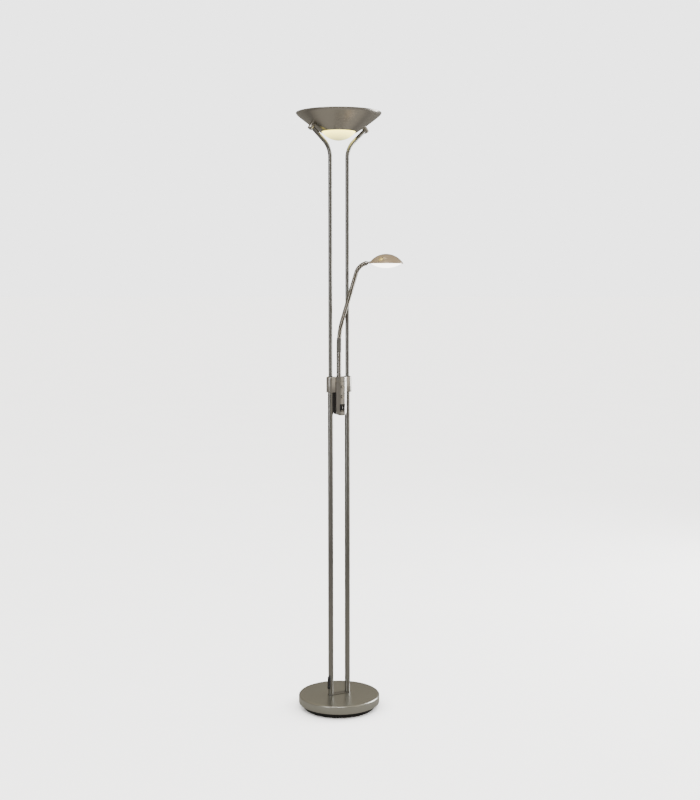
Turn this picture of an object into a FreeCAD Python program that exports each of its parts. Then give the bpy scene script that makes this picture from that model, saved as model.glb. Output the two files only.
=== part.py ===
import FreeCAD, Part
import math
import os
from FreeCAD import Placement, Rotation, Vector

# Torchiere floor lamp with reading light, in millimetres. +Z is up. The origin is the centre of the
# resting face. The two tubes stand along X, and the control box faces -Y.

os.makedirs("parts", exist_ok=True)

# ---------------------------------------------------------------- driving dimensions
running_gap = 0.05          # between a shaft and its bore, per side
seat_gap = 0.15             # between pieces that are slid together, per side

# base
base_radius = 124.0
base_top = 41.0
cover_wall = 1.2
cover_rounding = 4.0
cover_skirt = 25.0          # height of the metal side
cover_lip = 6.0             # width of the lip turned in under the weight
pad_radius = 106.0
pad_thickness = 2.0
plinth_radius = 111.0
plinth_wall = 3.0
plinth_floor = 2.5
plinth_ribs = 12
plinth_rib_wall = 2.4
weight_pocket_radius = 76.0
weight_web = 8.0            # iron left above the wiring pocket
plinth_screw_circle = 95.0
plinth_screws = 3
plinth_screw_radius = 2.5
plinth_screw_head = 4.6
plinth_screw_reach = 12.0   # length of thread in the weight
supply_size = (90.0, 36.0, 20.0)
supply_middle_y = -40.0
terminal_size = (30.0, 17.0, 14.0)
terminal_middle_y = 38.0

# tubes
tube_spacing = 57.5
lower_tube_radius = 8.0
upper_tube_radius = 6.0
tube_wall = 1.0
foot_plate_radius = 9.5
foot_plate_thickness = 1.5
foot_gasket_thickness = 0.5
foot_stud_radius = 5.0
foot_plug_length = 30.0
foot_nut_flats = 17.0
foot_nut_height = 8.0
foot_flange_radius = 10.5
foot_flange_thickness = 2.0
wire_way_radius = 3.0
upper_bend_radius = 66.0
upper_bend_angle = 47.0
clip_bottom = 62.0
clip_length = 42.0
clip_radius = 4.6
clip_direction = 213.0      # round the left tube, from +X
clip_tip = 6.0
clip_saddle = 1.0

# control box
box_top = 1019.0
band_height = 46.0
band_radius = 12.5          # round each tube's axis
band_wall = 2.2
band_rounding = 2.5
box_length = 115.5          # from its top to its bottom
box_half_width = 17.0
box_front = 21.5            # of the crown of the front face, from the tubes' plane
box_crown = 5.0             # how far the front face swells
box_wall = 2.2
box_corner = 10.0
box_bow = 1.5
box_edge_rounding = 2.0
cornice_height = 12.0
cornice_setback = 0.8
cornice_rounding = 3.0
back_joint = 11.3           # the back cover meets the front shell this far in front of the tubes
back_depth = 11.0           # behind the tubes' plane
back_inset = 1.0
back_wall = 2.0
lower_tube_drop = 19.0      # these seven are measured down from the box's top
upper_tube_drop = 74.0
upper_knob_drop = 29.0
lower_knob_drop = 58.5
rocker_drop = 92.3
clamp_screw_drop = 33.0
cover_screw_drops = (108.4, 74.8)
sleeve_collar = 3.0
collar_rise = 2.0
collar_wall = 1.6
knob_radius = 5.0
knob_length = 6.0
knob_gap = 0.6              # between a knob and the front face
knob_flutes = 16
shaft_radius = 2.0
bush_radius = 3.2
bush_shoulder_radius = 4.5
pot_size = (11.0, 6.5, 12.0)
board_face = 10.0           # of the dimmer board, in front of the tubes' plane
board_thickness = 1.6
board_half_width = 13.0
bezel_half_width = 7.75
bezel_half_height = 11.0
bezel_proud = 1.2
switch_body_half_width = 6.4
switch_body_half_height = 9.8
switch_body_depth = 14.0
rocker_half_width = 4.9
rocker_half_height = 7.6
rocker_gap = 0.35
rocker_tilt = 9.0           # of the pressed rocker, each way from level
rocker_axle_radius = 1.0
cover_screw_radius = 1.5
cover_screw_head = 2.9
cover_boss_radius = 3.2
clamp_screw_radius = 2.0

# reading arm
arm_direction = -45.0       # of the arm's plane, from +X
ferrule_radius = 7.2
ferrule_length = 74.3       # above the box
ferrule_socket = 12.0
spigot_radius = 5.0
arm_nut_flats = 15.0
arm_nut_height = 5.0
hose_radius = 6.4
hose_bore = 2.6
hose_first_straight = 20.7
hose_low_radius = 260.0
hose_low_angle = 17.0
hose_straight = 146.2
hose_high_radius = 41.0
hose_high_angle = 58.5
hose_joints = (20.7, 70.0, 122.0, 182.0, 240.0)   # along the hose, from the top of the sleeve
hose_cup = 3.2              # from a joint's centre to the rim of the cup over it
hose_cup_gap = 0.35
cone_length = 9.0
cone_tip_radius = 3.5
stud_radius = 2.75
stud_reach = 20.0           # from the cone's tip to the end of the socket in the head
socket_radius = 5.2

# reading head
head_radius = 50.5
head_height = 27.5
head_wall = 1.0
head_out = 62.85            # from the hose's end, which is level with the head's rim, to the head's axis
head_sink_rise = 4.2        # of the heat sink's plate above the rim
head_sink_thickness = 3.0
head_skirt = 2.0
head_board_radius = 37.0
head_chips = 8
head_diffuser_bulge = 14.0
head_diffuser_wall = 1.8
head_post_radius = 6.0
head_screw_radius = 2.0

# bowl
rim_height = 1800.0
bowl_radius = 126.8
bowl_height = 56.0
bowl_ring_radius = 55.5
bowl_hole_radius = 50.0
bowl_wall = 1.2
bowl_swell = (33.4, 25.3)   # a point of the outline: in from the rim, and above the bottom
bowl_shoulder = (5.8, 47.0)
bead_radius = 1.5
pin_radius = 7.5
pin_length = 20.0
pin_seat_radius = 85.0      # where the pins' axes meet the bowl, from the lamp's axis
pin_tube_entry = 9.5        # from the bowl to the tube's axis, along the pin
pin_screw_radius = 2.5
pin_screw_length = 6.0
glass_flange_radius = 54.0
glass_flange = 3.0
glass_neck_gap = 0.6
glass_depth = 25.0
glass_wall = 3.0
gasket_thickness = 0.8
glass_ring_wall = 2.0
glass_ring_height = 8.0
strap_half_width = 12.0
strap_thickness = 2.0
strap_reach = 95.0
strap_wire_radius = 6.0
strap_screw_radius = 1.5
module_radius = 40.0
module_height = 13.0
module_fins = 24
module_core_radius = 27.0
fin_thickness = 1.4
light_board_thickness = 1.6
upper_board_radius = 36.0
lower_board_radius = 36.0
upper_chips = 18
lower_chips = 8
cover_disc_height = 7.0
cover_disc_wall = 1.6
chip_size = (3.5, 3.5, 0.8)

# ---------------------------------------------------------------- places worked out from them
half_spacing = tube_spacing / 2
cover_bottom = base_top - cover_skirt
weight_bottom = cover_bottom + cover_wall
weight_top = base_top - cover_wall
pocket_ceiling = weight_top - weight_web
plinth_inside = pad_thickness + plinth_floor
tube_foot = base_top + foot_gasket_thickness + foot_plate_thickness
band_bottom = box_top - band_height
lower_bore = lower_tube_radius - tube_wall
upper_bore = upper_tube_radius - tube_wall
front_inside = box_front - box_wall
box_bottom = box_top - box_length
lower_tube_top = box_top - lower_tube_drop
upper_tube_bottom = box_top - upper_tube_drop
knob_heights = (("upper", box_top - upper_knob_drop), ("lower", box_top - lower_knob_drop))
rocker_height = box_top - rocker_drop
clamp_screw_height = box_top - clamp_screw_drop
cover_screw_heights = [box_top - drop for drop in cover_screw_drops]
ferrule_top = box_top + ferrule_length
bowl_bottom = rim_height - bowl_height


# ---------------------------------------------------------------- helpers
def outline(start, *steps):
    """A closed face in the XZ plane. A step is a point, or (middle, end) for an arc."""
    def place(p):
        return Vector(p[0], 0, p[1])

    edges = []
    here = place(start)
    for step in steps + (start,):
        if isinstance(step[0], tuple):
            there = place(step[1])
            edges.append(Part.Arc(here, place(step[0]), there).toShape())
        else:
            there = place(step)
            if there.distanceToPoint(here) > 1e-7:
                edges.append(Part.makeLine(here, there))
        here = there
    return Part.Face(Part.Wire(edges))


def turned(face):
    """The solid that a face in the XZ plane sweeps round the Z axis."""
    return face.revolve(Vector(), Vector(0, 0, 1), 360)


def disc(radius, bottom, top, x=0.0, y=0.0):
    return Part.makeCylinder(radius, top - bottom, Vector(x, y, bottom))


def pipe(radius, bore, bottom, top, x=0.0, y=0.0):
    return disc(radius, bottom, top, x, y).cut(disc(bore, bottom - 1, top + 1, x, y))


def block(x0, x1, y0, y1, z0, z1):
    return Part.makeBox(x1 - x0, y1 - y0, z1 - z0, Vector(x0, y0, z0))


def rod(radius, x, z, front, back):
    """A cylinder along Y, from front (the smaller y) to back."""
    return Part.makeCylinder(radius, back - front, Vector(x, front, z), Vector(0, 1, 0))


def hexagon(flats, bottom, top):
    """A hexagonal prism round the Z axis."""
    corner = flats / math.sqrt(3)
    turns = [math.radians(60 * i) for i in range(7)]
    points = [Vector(corner * math.cos(a), corner * math.sin(a), bottom) for a in turns]
    return Part.Face(Part.makePolygon(points)).extrude(Vector(0, 0, top - bottom))


def obround(radius, bottom, top):
    """A prism round both tubes' axes."""
    middle = block(-half_spacing, half_spacing, -radius, radius, bottom, top)
    ends = [disc(radius, bottom, top, side * half_spacing) for side in (-1, 1)]
    return middle.fuse(ends).removeSplitter()


def rounded(shape, radius, chosen):
    """The shape with a fillet on each edge that the function picks."""
    return shape.makeFillet(radius, [edge for edge in shape.Edges if chosen(edge)])


def at_height(z):
    return lambda edge: all(abs(v.Point.z - z) < 1e-6 for v in edge.Vertexes)


def ring_of(shape, count, first=0.0):
    """Copies of a shape, evenly spaced round the Z axis."""
    return [shape.rotated(Vector(), Vector(0, 0, 1), first + 360 / count * i) for i in range(count)]


def mirrored(shape):
    """The same piece on the other tube."""
    return shape.mirror(Vector(), Vector(1, 0, 0))


def save(name, *shapes):
    whole = shapes[0] if len(shapes) == 1 else Part.makeCompound(list(shapes))
    whole.exportStep("parts/" + name + ".step")


# ---------------------------------------------------------------- base
def base_cover():
    """Spun steel cover, with a lip turned in under the weight."""
    r, f, w = base_radius, cover_rounding, cover_wall
    slant = math.sqrt(0.5)
    face = outline(
        (0, base_top),
        (r - f, base_top),
        ((r - f + f * slant, base_top - f + f * slant), (r, base_top - f)),
        (r, cover_bottom),
        (r - cover_lip, cover_bottom),
        (r - cover_lip, cover_bottom + w),
        (r - w, cover_bottom + w),
        (r - w, base_top - f),
        ((r - f + (f - w) * slant, base_top - f + (f - w) * slant), (r - f, base_top - w)),
        (0, base_top - w),
    )
    return turned(face).cut(stud_holes())


def stud_holes():
    """The holes for the tubes' studs, right through the base."""
    radius = foot_stud_radius + seat_gap
    return [disc(radius, 0, tube_foot + 1, side * half_spacing) for side in (-1, 1)]


def screw_places():
    """The plinth screws' places, as (x, y)."""
    turns = [math.radians(90 + 360 / plinth_screws * i) for i in range(plinth_screws)]
    return [(plinth_screw_circle * math.cos(a), plinth_screw_circle * math.sin(a)) for a in turns]


def base_weight():
    """Cast iron disc with a wiring pocket below."""
    r = base_radius - cover_wall - seat_gap
    chamfer = cover_rounding
    face = outline(
        (0, weight_top), (r - chamfer, weight_top), (r, weight_top - chamfer), (r, weight_bottom),
        (weight_pocket_radius, weight_bottom), (weight_pocket_radius - 2, pocket_ceiling), (0, pocket_ceiling),
    )
    thread_top = weight_bottom + plinth_screw_reach
    threads = [disc(plinth_screw_radius, weight_bottom - 1, thread_top, x, y) for x, y in screw_places()]
    return turned(face).cut(stud_holes() + threads)


def plinth():
    """Black moulded tray that closes the base, with ribs and screw bosses."""
    edge = 1.5
    face = outline(
        (0, pad_thickness), (plinth_radius - edge, pad_thickness), (plinth_radius, pad_thickness + edge),
        (plinth_radius, weight_bottom), (plinth_radius - plinth_wall, weight_bottom),
        (plinth_radius - plinth_wall, plinth_inside), (0, plinth_inside),
    )
    half = plinth_rib_wall / 2
    rib = block(weight_pocket_radius, plinth_radius - 1, -half, half, plinth_inside - 1, weight_bottom)
    bosses = [disc(7, plinth_inside - 1, weight_bottom, x, y) for x, y in screw_places()]
    tray = turned(face).fuse(ring_of(rib, plinth_ribs, 15) + bosses)
    shanks = [disc(plinth_screw_radius + seat_gap, 0, base_top, x, y) for x, y in screw_places()]
    heads = [disc(plinth_screw_head + 0.6, 0, plinth_inside + 3.5, x, y) for x, y in screw_places()]
    return tray.cut(shanks + heads).removeSplitter()


def plinth_screw_set():
    top = weight_bottom + plinth_screw_reach - 1
    seat = plinth_inside + 3.5
    screws = []
    for x, y in screw_places():
        head = disc(plinth_screw_head, seat - 3, seat, x, y)
        slot = block(x - 3.4, x + 3.4, y - 0.5, y + 0.5, seat - 3.1, seat - 1.8)
        screws.append(head.fuse(disc(plinth_screw_radius, seat - 0.5, top, x, y)).cut(slot))
    return screws


def floor_pad():
    holes = [disc(plinth_screw_head + 0.6, -1, pad_thickness + 1, x, y) for x, y in screw_places()]
    return disc(pad_radius, 0, pad_thickness).cut(holes)


def power_supply():
    length, width, height = supply_size
    y0 = supply_middle_y - width / 2
    case = block(-length / 2, length / 2, y0, y0 + width, plinth_inside, plinth_inside + height)
    upright = lambda edge: abs(edge.Vertexes[0].Point.z - edge.Vertexes[-1].Point.z) > height / 2
    return rounded(case, 3, upright)


def terminal_block():
    length, width, height = terminal_size
    y0 = terminal_middle_y - width / 2
    body = block(-length / 2, length / 2, y0, y0 + width, plinth_inside, plinth_inside + height)
    pitch = length / 3
    holes = []
    for i in (-1, 0, 1):
        wire_height = plinth_inside + height * 0.35
        holes.append(rod(1.8, i * pitch, wire_height, y0 - 1, y0 + width + 1))
        for dy in (-4.5, 4.5):
            holes.append(disc(1.7, wire_height, plinth_inside + height + 1, i * pitch, terminal_middle_y + dy))
    return body.cut(holes)


def foot_plate():
    return obround(foot_plate_radius, base_top + foot_gasket_thickness, tube_foot).cut(stud_holes())


def foot_gasket():
    return obround(foot_plate_radius + 0.3, base_top, base_top + foot_gasket_thickness).cut(stud_holes())


def foot_insert():
    """Steel plug in the tube's end, with a stud through the base."""
    nut_bottom = pocket_ceiling - foot_flange_thickness - foot_nut_height
    plug = disc(lower_bore, tube_foot, tube_foot + foot_plug_length, half_spacing)
    stud = disc(foot_stud_radius, nut_bottom - 1.5, tube_foot + 1, half_spacing)
    wire_way = disc(wire_way_radius, nut_bottom - 5, tube_foot + foot_plug_length + 1, half_spacing)
    return plug.fuse(stud).cut(wire_way)


def foot_nut():
    """Hexagon nut with a flange, under the weight's web."""
    flange = pocket_ceiling - foot_flange_thickness
    nut = hexagon(foot_nut_flats, flange - foot_nut_height, flange).translated(Vector(half_spacing, 0, 0))
    nut = nut.fuse(disc(foot_flange_radius, flange, pocket_ceiling, half_spacing))
    return nut.cut(disc(foot_stud_radius, 0, base_top, half_spacing))


# ---------------------------------------------------------------- bowl outline
def bowl_arcs():
    """The bowl's outer outline: the main arc, and the tighter one up to the rim."""
    ring = Vector(bowl_ring_radius, 0, bowl_bottom)
    swell = Vector(bowl_radius - bowl_swell[0], 0, bowl_bottom + bowl_swell[1])
    shoulder = Vector(bowl_radius - bowl_shoulder[0], 0, bowl_bottom + bowl_shoulder[1])
    main = Part.Arc(ring, swell, shoulder).toShape().Curve
    return main.Center, main.Radius, shoulder


def bowl_point(radius, depth):
    """The point of the bowl's main arc at a radius, moved inward by depth, and the outward slope angle."""
    centre, arc_radius, shoulder = bowl_arcs()
    drop = math.sqrt(arc_radius ** 2 - (radius - centre.x) ** 2)
    normal = Vector(radius - centre.x, 0, -drop).normalize()
    return centre + normal * (arc_radius - depth), normal


def bowl_layer(outer, inner, bottom_edge, rim=True):
    """A turned layer that follows the bowl, between two depths from its outer face."""
    centre, arc_radius, shoulder = bowl_arcs()
    normal = (shoulder - centre).normalize()
    start = bowl_point(bottom_edge, 0)[1]

    def on_main(direction, depth):
        p = centre + direction * (arc_radius - depth)
        return (p.x, p.z)

    middle = (start + normal).normalize()
    if not rim:
        return turned(outline(
            on_main(start, outer), (on_main(middle, outer), on_main(normal, outer)),
            on_main(normal, inner), (on_main(middle, inner), on_main(start, inner)),
        ))
    # the rim's arc leaves the main one smoothly and ends at the rim
    rim_end = Vector(bowl_radius, 0, rim_height - bead_radius)
    chord = rim_end - shoulder
    rim_radius = chord.Length ** 2 / (2 * chord.dot(normal * -1))
    rim_centre = shoulder - normal * rim_radius
    rim_normal = (rim_end - rim_centre).normalize()
    rim_middle = (normal + rim_normal).normalize()

    def on_rim(direction, depth):
        p = rim_centre + direction * (rim_radius - depth)
        return (p.x, p.z)

    return turned(outline(
        on_main(start, outer), (on_main(middle, outer), on_main(normal, outer)),
        (on_rim(rim_middle, outer), on_rim(rim_normal, outer)),
        on_rim(rim_normal, inner), (on_rim(rim_middle, inner), on_rim(normal, inner)),
        (on_main(middle, inner), on_main(start, inner)),
    ))


def pin_axis():
    """The pin's seat on the bowl and its outward direction, on the right side."""
    return bowl_point(pin_seat_radius, 0)


def tube_end():
    """Where the upper tube's axis meets the pin's axis."""
    seat, outward = pin_axis()
    return seat + outward * pin_tube_entry


# ---------------------------------------------------------------- tubes
def lower_tube():
    return pipe(lower_tube_radius, lower_bore, tube_foot, lower_tube_top, half_spacing)


def tube_path():
    """The upper tube's axis: up, round the bend, and out to the pin."""
    end = tube_end()
    turn = math.radians(upper_bend_angle)
    sideways = upper_bend_radius * (1 - math.cos(turn))
    upward = upper_bend_radius * math.sin(turn)
    straight_out = end.x - half_spacing - sideways
    bend_start = end.z - straight_out / math.tan(turn) - upward

    def on_bend(angle):
        x = half_spacing + upper_bend_radius * (1 - math.cos(angle))
        return Vector(x, 0, bend_start + upper_bend_radius * math.sin(angle))

    return Part.Wire([
        Part.makeLine(Vector(half_spacing, 0, upper_tube_bottom), on_bend(0)),
        Part.Arc(on_bend(0), on_bend(turn / 2), on_bend(turn)).toShape(),
        Part.makeLine(on_bend(turn), end),
    ])


def swept(path, radius):
    """A round bar along a path."""
    start = path.Edges[0]
    here = start.valueAt(start.FirstParameter)
    way = start.tangentAt(start.FirstParameter)
    ring = Part.Wire(Part.makeCircle(radius, here, way))
    return path.makePipeShell([ring], True, False)


def upper_tube():
    path = tube_path()
    bar = swept(path, upper_tube_radius).cut(swept(path, upper_bore))
    seat, outward = pin_axis()
    keep_out = Part.makeCylinder(pin_radius - 3, 60, seat - outward * 10, outward)
    return bar.cut(keep_out)


def reducer_sleeve():
    """Sleeve that centres the upper tube in the lower one."""
    top = lower_tube_top + sleeve_collar
    bush = disc(lower_bore, upper_tube_bottom, top, half_spacing)
    collar = disc(lower_tube_radius, lower_tube_top, top, half_spacing)
    return bush.fuse(collar).cut(disc(upper_tube_radius, upper_tube_bottom - 1, top + 1, half_spacing))


def tube_collar():
    """Black bush where the upper tube leaves the box."""
    radius = upper_tube_radius + collar_wall
    neck = disc(radius, box_top - band_wall, box_top + collar_rise, half_spacing)
    flange = disc(radius + 1.2, box_top, box_top + collar_rise - 0.6, half_spacing)
    return neck.fuse(flange).cut(disc(upper_tube_radius, box_top - 10, box_top + 10, half_spacing))


def tube_clip():
    """Slim black moulding stuck to the left tube, pointed at the top, with a collar at its foot."""
    turn = math.radians(clip_direction)
    reach = lower_tube_radius + clip_radius - 1.2
    x = -half_spacing + reach * math.cos(turn)
    y = reach * math.sin(turn)
    top = clip_bottom + clip_length
    body = disc(clip_radius, clip_bottom, top - clip_tip, x, y)
    tip = Part.makeCone(clip_radius, 1.2, clip_tip, Vector(x, y, top - clip_tip))
    foot = disc(clip_radius + 0.6, clip_bottom + 3, clip_bottom + 8, x, y)
    saddle_radius = lower_tube_radius + clip_saddle
    saddle = disc(saddle_radius, clip_bottom + 6, top - clip_tip - 2, -half_spacing)
    near_side = block(saddle_radius * math.cos(math.radians(28)), 40, -20, 20, clip_bottom - 1, top + 1)
    near_side.rotate(Vector(), Vector(0, 0, 1), clip_direction)
    near_side.translate(Vector(-half_spacing, 0, 0))
    clip = body.fuse([tip, foot, saddle.common(near_side)])
    return clip.cut(disc(lower_tube_radius, 0, top + 20, -half_spacing)).removeSplitter()


# ---------------------------------------------------------------- control box
def front_prism(half_width, front, crown, bottom, top, back=0.0):
    """An upright prism whose front face swells forward."""
    side = front - crown
    a = Vector(-half_width, back, bottom)
    b = Vector(-half_width, -side, bottom)
    c = Vector(half_width, -side, bottom)
    d = Vector(half_width, back, bottom)
    arc = Part.Arc(b, Vector(0, -front, bottom), c).toShape()
    wire = Part.Wire([Part.makeLine(a, b), arc, Part.makeLine(c, d), Part.makeLine(d, a)])
    prism = Part.Face(wire).extrude(Vector(0, 0, top - bottom))
    corners = lambda e: abs(e.BoundBox.ZLength - (top - bottom)) < 0.01 and abs(e.CenterOfMass.y + side) < 0.01
    return rounded(prism, box_edge_rounding, corners)


def tongue(inset, top):
    """The box's front outline, seen from the front: straight sides and a rounded, bowed bottom."""
    half = box_half_width - inset
    bottom = box_bottom + inset
    face = outline(
        (-half, top), (-half, bottom + box_bow), ((0, bottom), (half, bottom + box_bow)), (half, top),
    )
    slab = face.extrude(Vector(0, 80, 0)).translated(Vector(0, -40, 0))
    corner = lambda e: (abs(e.Vertexes[0].Point.y - e.Vertexes[-1].Point.y) > 70
                        and e.Vertexes[0].Point.z < bottom + box_bow + 1)
    return rounded(slab, box_corner - inset, corner)


def box_solid(inset):
    """The closed box, or its inside when it is drawn in by the wall."""
    band = obround(band_radius - inset, band_bottom + inset, box_top - inset)
    ledge = box_top - cornice_height
    lower = front_prism(box_half_width - inset, box_front - inset, box_crown, box_bottom, ledge)
    upper = front_prism(
        box_half_width - inset, box_front - cornice_setback - inset, box_crown, ledge, box_top - inset)
    if inset == 0:
        band = rounded(band, band_rounding, at_height(box_top))
        front_edges = lambda e: at_height(box_top)(e) and e.BoundBox.YMin < -(box_front - box_crown - 2)
        upper = rounded(upper, cornice_rounding, front_edges)
    body = lower.fuse(upper).common(tongue(inset, box_top + 1))
    return band, body


def box_shell():
    """Satin front shell: the band round the tubes and the tongue below it."""
    band, body = box_solid(0)
    band_inside, body_inside = box_solid(box_wall)
    behind = block(-40, 40, -back_joint, 40, box_bottom - 1, band_bottom)
    body = body.cut(behind)
    shell = band.fuse(body).cut([band_inside, body_inside])
    bosses = [rod(cover_boss_radius, 0, z, -front_inside - 0.5, -back_joint) for z in cover_screw_heights]
    shell = shell.fuse(bosses)
    holes = [rod(cover_screw_radius, 0, z, -front_inside + 2, 0) for z in cover_screw_heights]
    for side in (-1, 1):
        x = side * half_spacing
        holes.append(disc(lower_tube_radius + seat_gap, band_bottom - 1, band_bottom + band_wall + 1, x))
        holes.append(disc(upper_tube_radius + collar_wall, box_top - band_wall - 1, box_top + 1, x))
        holes.append(rod(clamp_screw_radius, x, clamp_screw_height, 0, band_radius + 1))
    holes.append(disc(spigot_radius + seat_gap, box_top - band_wall - 1, box_top + 1))
    for name, z in knob_heights:
        holes.append(rod(bush_radius + seat_gap, 0, z, -box_front - 1, -front_inside + 2))
    holes.append(block(
        -switch_body_half_width - seat_gap, switch_body_half_width + seat_gap, -box_front - 1, -front_inside + 3,
        rocker_height - switch_body_half_height - seat_gap, rocker_height + switch_body_half_height + seat_gap))
    return shell.cut(holes).removeSplitter()


def box_back():
    """Black back cover, with bosses for its two screws."""
    def tray(inset, front):
        half = box_half_width - back_inset - inset
        plan = block(-half, half, -front, back_depth - inset, box_bottom, band_bottom - seat_gap - inset)
        return plan.common(tongue(back_inset + inset, box_top))

    back = back_depth - back_wall
    cover = tray(0, back_joint).cut(tray(back_wall, back_joint + 1))
    bosses = [rod(cover_boss_radius, 0, z, -back_joint, back + 0.5) for z in cover_screw_heights]
    cover = cover.fuse(bosses)
    board_back = -board_face + board_thickness
    board_slot = block(-40, 40, -back_joint - 1, board_back + 0.5, band_bottom - 10, band_bottom)
    board_slot = board_slot.common(tray(back_wall, back_joint + 1).translated(Vector(0, 0, back_wall)))
    cover = cover.cut(board_slot)
    shanks = [rod(cover_screw_radius, 0, z, -back_joint - 1, back_depth + 1) for z in cover_screw_heights]
    sink = cover_screw_head + 0.2
    heads = [rod(sink, 0, z, back_depth - 2.2, back_depth + 1) for z in cover_screw_heights]
    return cover.cut(shanks + heads).removeSplitter()


def cover_screw_set():
    screws = []
    for z in cover_screw_heights:
        head = rod(cover_screw_head, 0, z, back_depth - 2.2, back_depth - 0.4)
        shank = rod(cover_screw_radius, 0, z, -back_joint - 5, back_depth - 2)
        slot = block(-2.2, 2.2, back_depth - 1.2, back_depth, z - 0.4, z + 0.4)
        cross = block(-0.4, 0.4, back_depth - 1.2, back_depth, z - 2.2, z + 2.2)
        screws.append(head.fuse(shank).cut([slot, cross]))
    return screws


def clamp_screw_set():
    """Grub screws that press the band against the tubes."""
    screws = []
    for side in (-1, 1):
        x = side * half_spacing
        end = band_radius - 0.4
        grub = rod(clamp_screw_radius, x, clamp_screw_height, lower_tube_radius + 0.05, end)
        screws.append(grub.cut(rod(1.1, x, clamp_screw_height, end - 1.8, end)))
    return screws


def dimmer_board():
    bottom = cover_screw_heights[1] + 5
    top = box_top - band_wall - arm_nut_height - 6
    board = block(-board_half_width, board_half_width, -board_face, -board_face + board_thickness, bottom, top)
    corner_holes = [rod(1.1, side * (board_half_width - 2), bottom + 3, -20, 0) for side in (-1, 1)]
    return board.cut(corner_holes)


def dimmer_pot(z):
    """Potentiometer body on the board, with its bush through the front shell."""
    width, depth, height = pot_size
    body_front = board_face + depth
    body = block(-width / 2, width / 2, -body_front, -board_face, z - height / 2, z + height / 2)
    shoulder = rod(bush_shoulder_radius, 0, z, -front_inside + 0.4, -body_front + 0.1)
    bush = rod(bush_radius, 0, z, -box_front, -body_front + 0.1)
    bore = rod(shaft_radius + running_gap, 0, z, -box_front - 1, -board_face - 1)
    return body.fuse([shoulder, bush]).cut(bore)


def dimmer_shaft(z):
    shaft = rod(shaft_radius, 0, z, -box_front - knob_gap - knob_length + 1.5, -board_face - 1.1)
    flat = block(-3, 3, -box_front - knob_gap - knob_length, -box_front - knob_gap - 0.5,
                 z + shaft_radius * 0.6, z + 4)
    return shaft.cut(flat)


def dimmer_knob(z):
    """Small fluted metal knob with a dished face and a pointer groove."""
    back = -box_front - knob_gap
    front = back - knob_length
    knob = rod(knob_radius, 0, z, front, back)
    knob = rounded(knob, 0.8, lambda e: e.BoundBox.YLength < 0.01 and abs(e.BoundBox.YMin - front) < 0.01)
    flute = rod(0.35, 0, z + knob_radius + 0.1, front + 1.4, back + 1)
    turns = [360 / knob_flutes * i for i in range(knob_flutes)]
    flutes = [flute.rotated(Vector(0, 0, z), Vector(0, 1, 0), turn) for turn in turns]
    dish = Part.makeSphere(30, Vector(0, front - 30 + 0.35, z))
    pointer = block(-0.35, 0.35, front - 1, front + 0.6, z + 1.5, z + knob_radius + 1)
    return knob.cut(flutes + [dish, pointer, dimmer_shaft(z)])


def rocker_frame():
    """Black snap-in frame: bezel in front of the shell and a box behind it."""
    w, h = bezel_half_width, bezel_half_height
    seat = box_front - 1.0
    bezel = block(-w, w, -box_front - bezel_proud, -seat, rocker_height - h, rocker_height + h)
    bezel = rounded(bezel, 1.0, lambda e: abs(e.BoundBox.YLength) > 1)
    bezel = bezel.cut(box_front_skin())
    bw, bh = switch_body_half_width, switch_body_half_height
    body = block(-bw, bw, -seat - 0.2, -seat + switch_body_depth, rocker_height - bh, rocker_height + bh)
    ow, oh = rocker_half_width + rocker_gap, rocker_half_height + 1.1
    well = block(-ow, ow, -box_front - 5, -box_front + 8, rocker_height - oh, rocker_height + oh)
    axle_start = Vector(-bw, -rocker_pivot(), rocker_height)
    axle = Part.makeCylinder(rocker_axle_radius, 2 * bw, axle_start, Vector(1, 0, 0))
    return bezel.fuse(body).cut([well, axle] + switch_terminals()).removeSplitter()


def box_front_skin():
    """The front shell's outer form with the switch hole, for what seats on it."""
    skin = front_prism(box_half_width, box_front, box_crown, box_bottom, box_top - cornice_height)
    hole = block(-switch_body_half_width, switch_body_half_width, -box_front - 5, 5,
                 rocker_height - switch_body_half_height, rocker_height + switch_body_half_height)
    return skin.cut(hole)


def rocker_pivot():
    """How far the rocker's axle lies in front of the tubes' plane."""
    return box_front - 2.0


def rocker_button():
    """Rocker with two facets that meet in a shallow V, pressed at its upper end."""
    y = rocker_pivot()
    h = rocker_half_height
    front_end, front_mid = y + 4.8, y + 3.4

    def at(dy, dz):
        return Vector(-rocker_half_width, -dy, rocker_height + dz)

    points = [at(front_end, h), at(front_mid, 0), at(front_end, -h), at(y, -h), at(y - 3, -h * 0.7),
              at(y - 3, h * 0.7), at(y, h), at(front_end, h)]
    body = Part.Face(Part.makePolygon(points)).extrude(Vector(2 * rocker_half_width, 0, 0))
    bore = Part.makeCylinder(rocker_axle_radius + running_gap, 4 * rocker_half_width,
                             Vector(-2 * rocker_half_width, -y, rocker_height), Vector(1, 0, 0))
    body = body.cut(bore)
    return body.rotated(Vector(0, -y, rocker_height), Vector(1, 0, 0), -rocker_tilt)


def rocker_axle():
    bw = switch_body_half_width
    start = Vector(-bw + 0.1, -rocker_pivot(), rocker_height)
    return Part.makeCylinder(rocker_axle_radius, 2 * bw - 0.2, start, Vector(1, 0, 0))


def switch_terminals():
    back = -(box_front - 1.0) + switch_body_depth
    heights = (rocker_height - 5, rocker_height + 5)
    return [block(-2.4, 2.4, back - 2, back + 6, z - 0.4, z + 0.4) for z in heights]


# ---------------------------------------------------------------- reading arm
def arm_plane(reach, z):
    """A point in the arm's upright plane."""
    turn = math.radians(arm_direction)
    return Vector(reach * math.cos(turn), reach * math.sin(turn), z)


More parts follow.
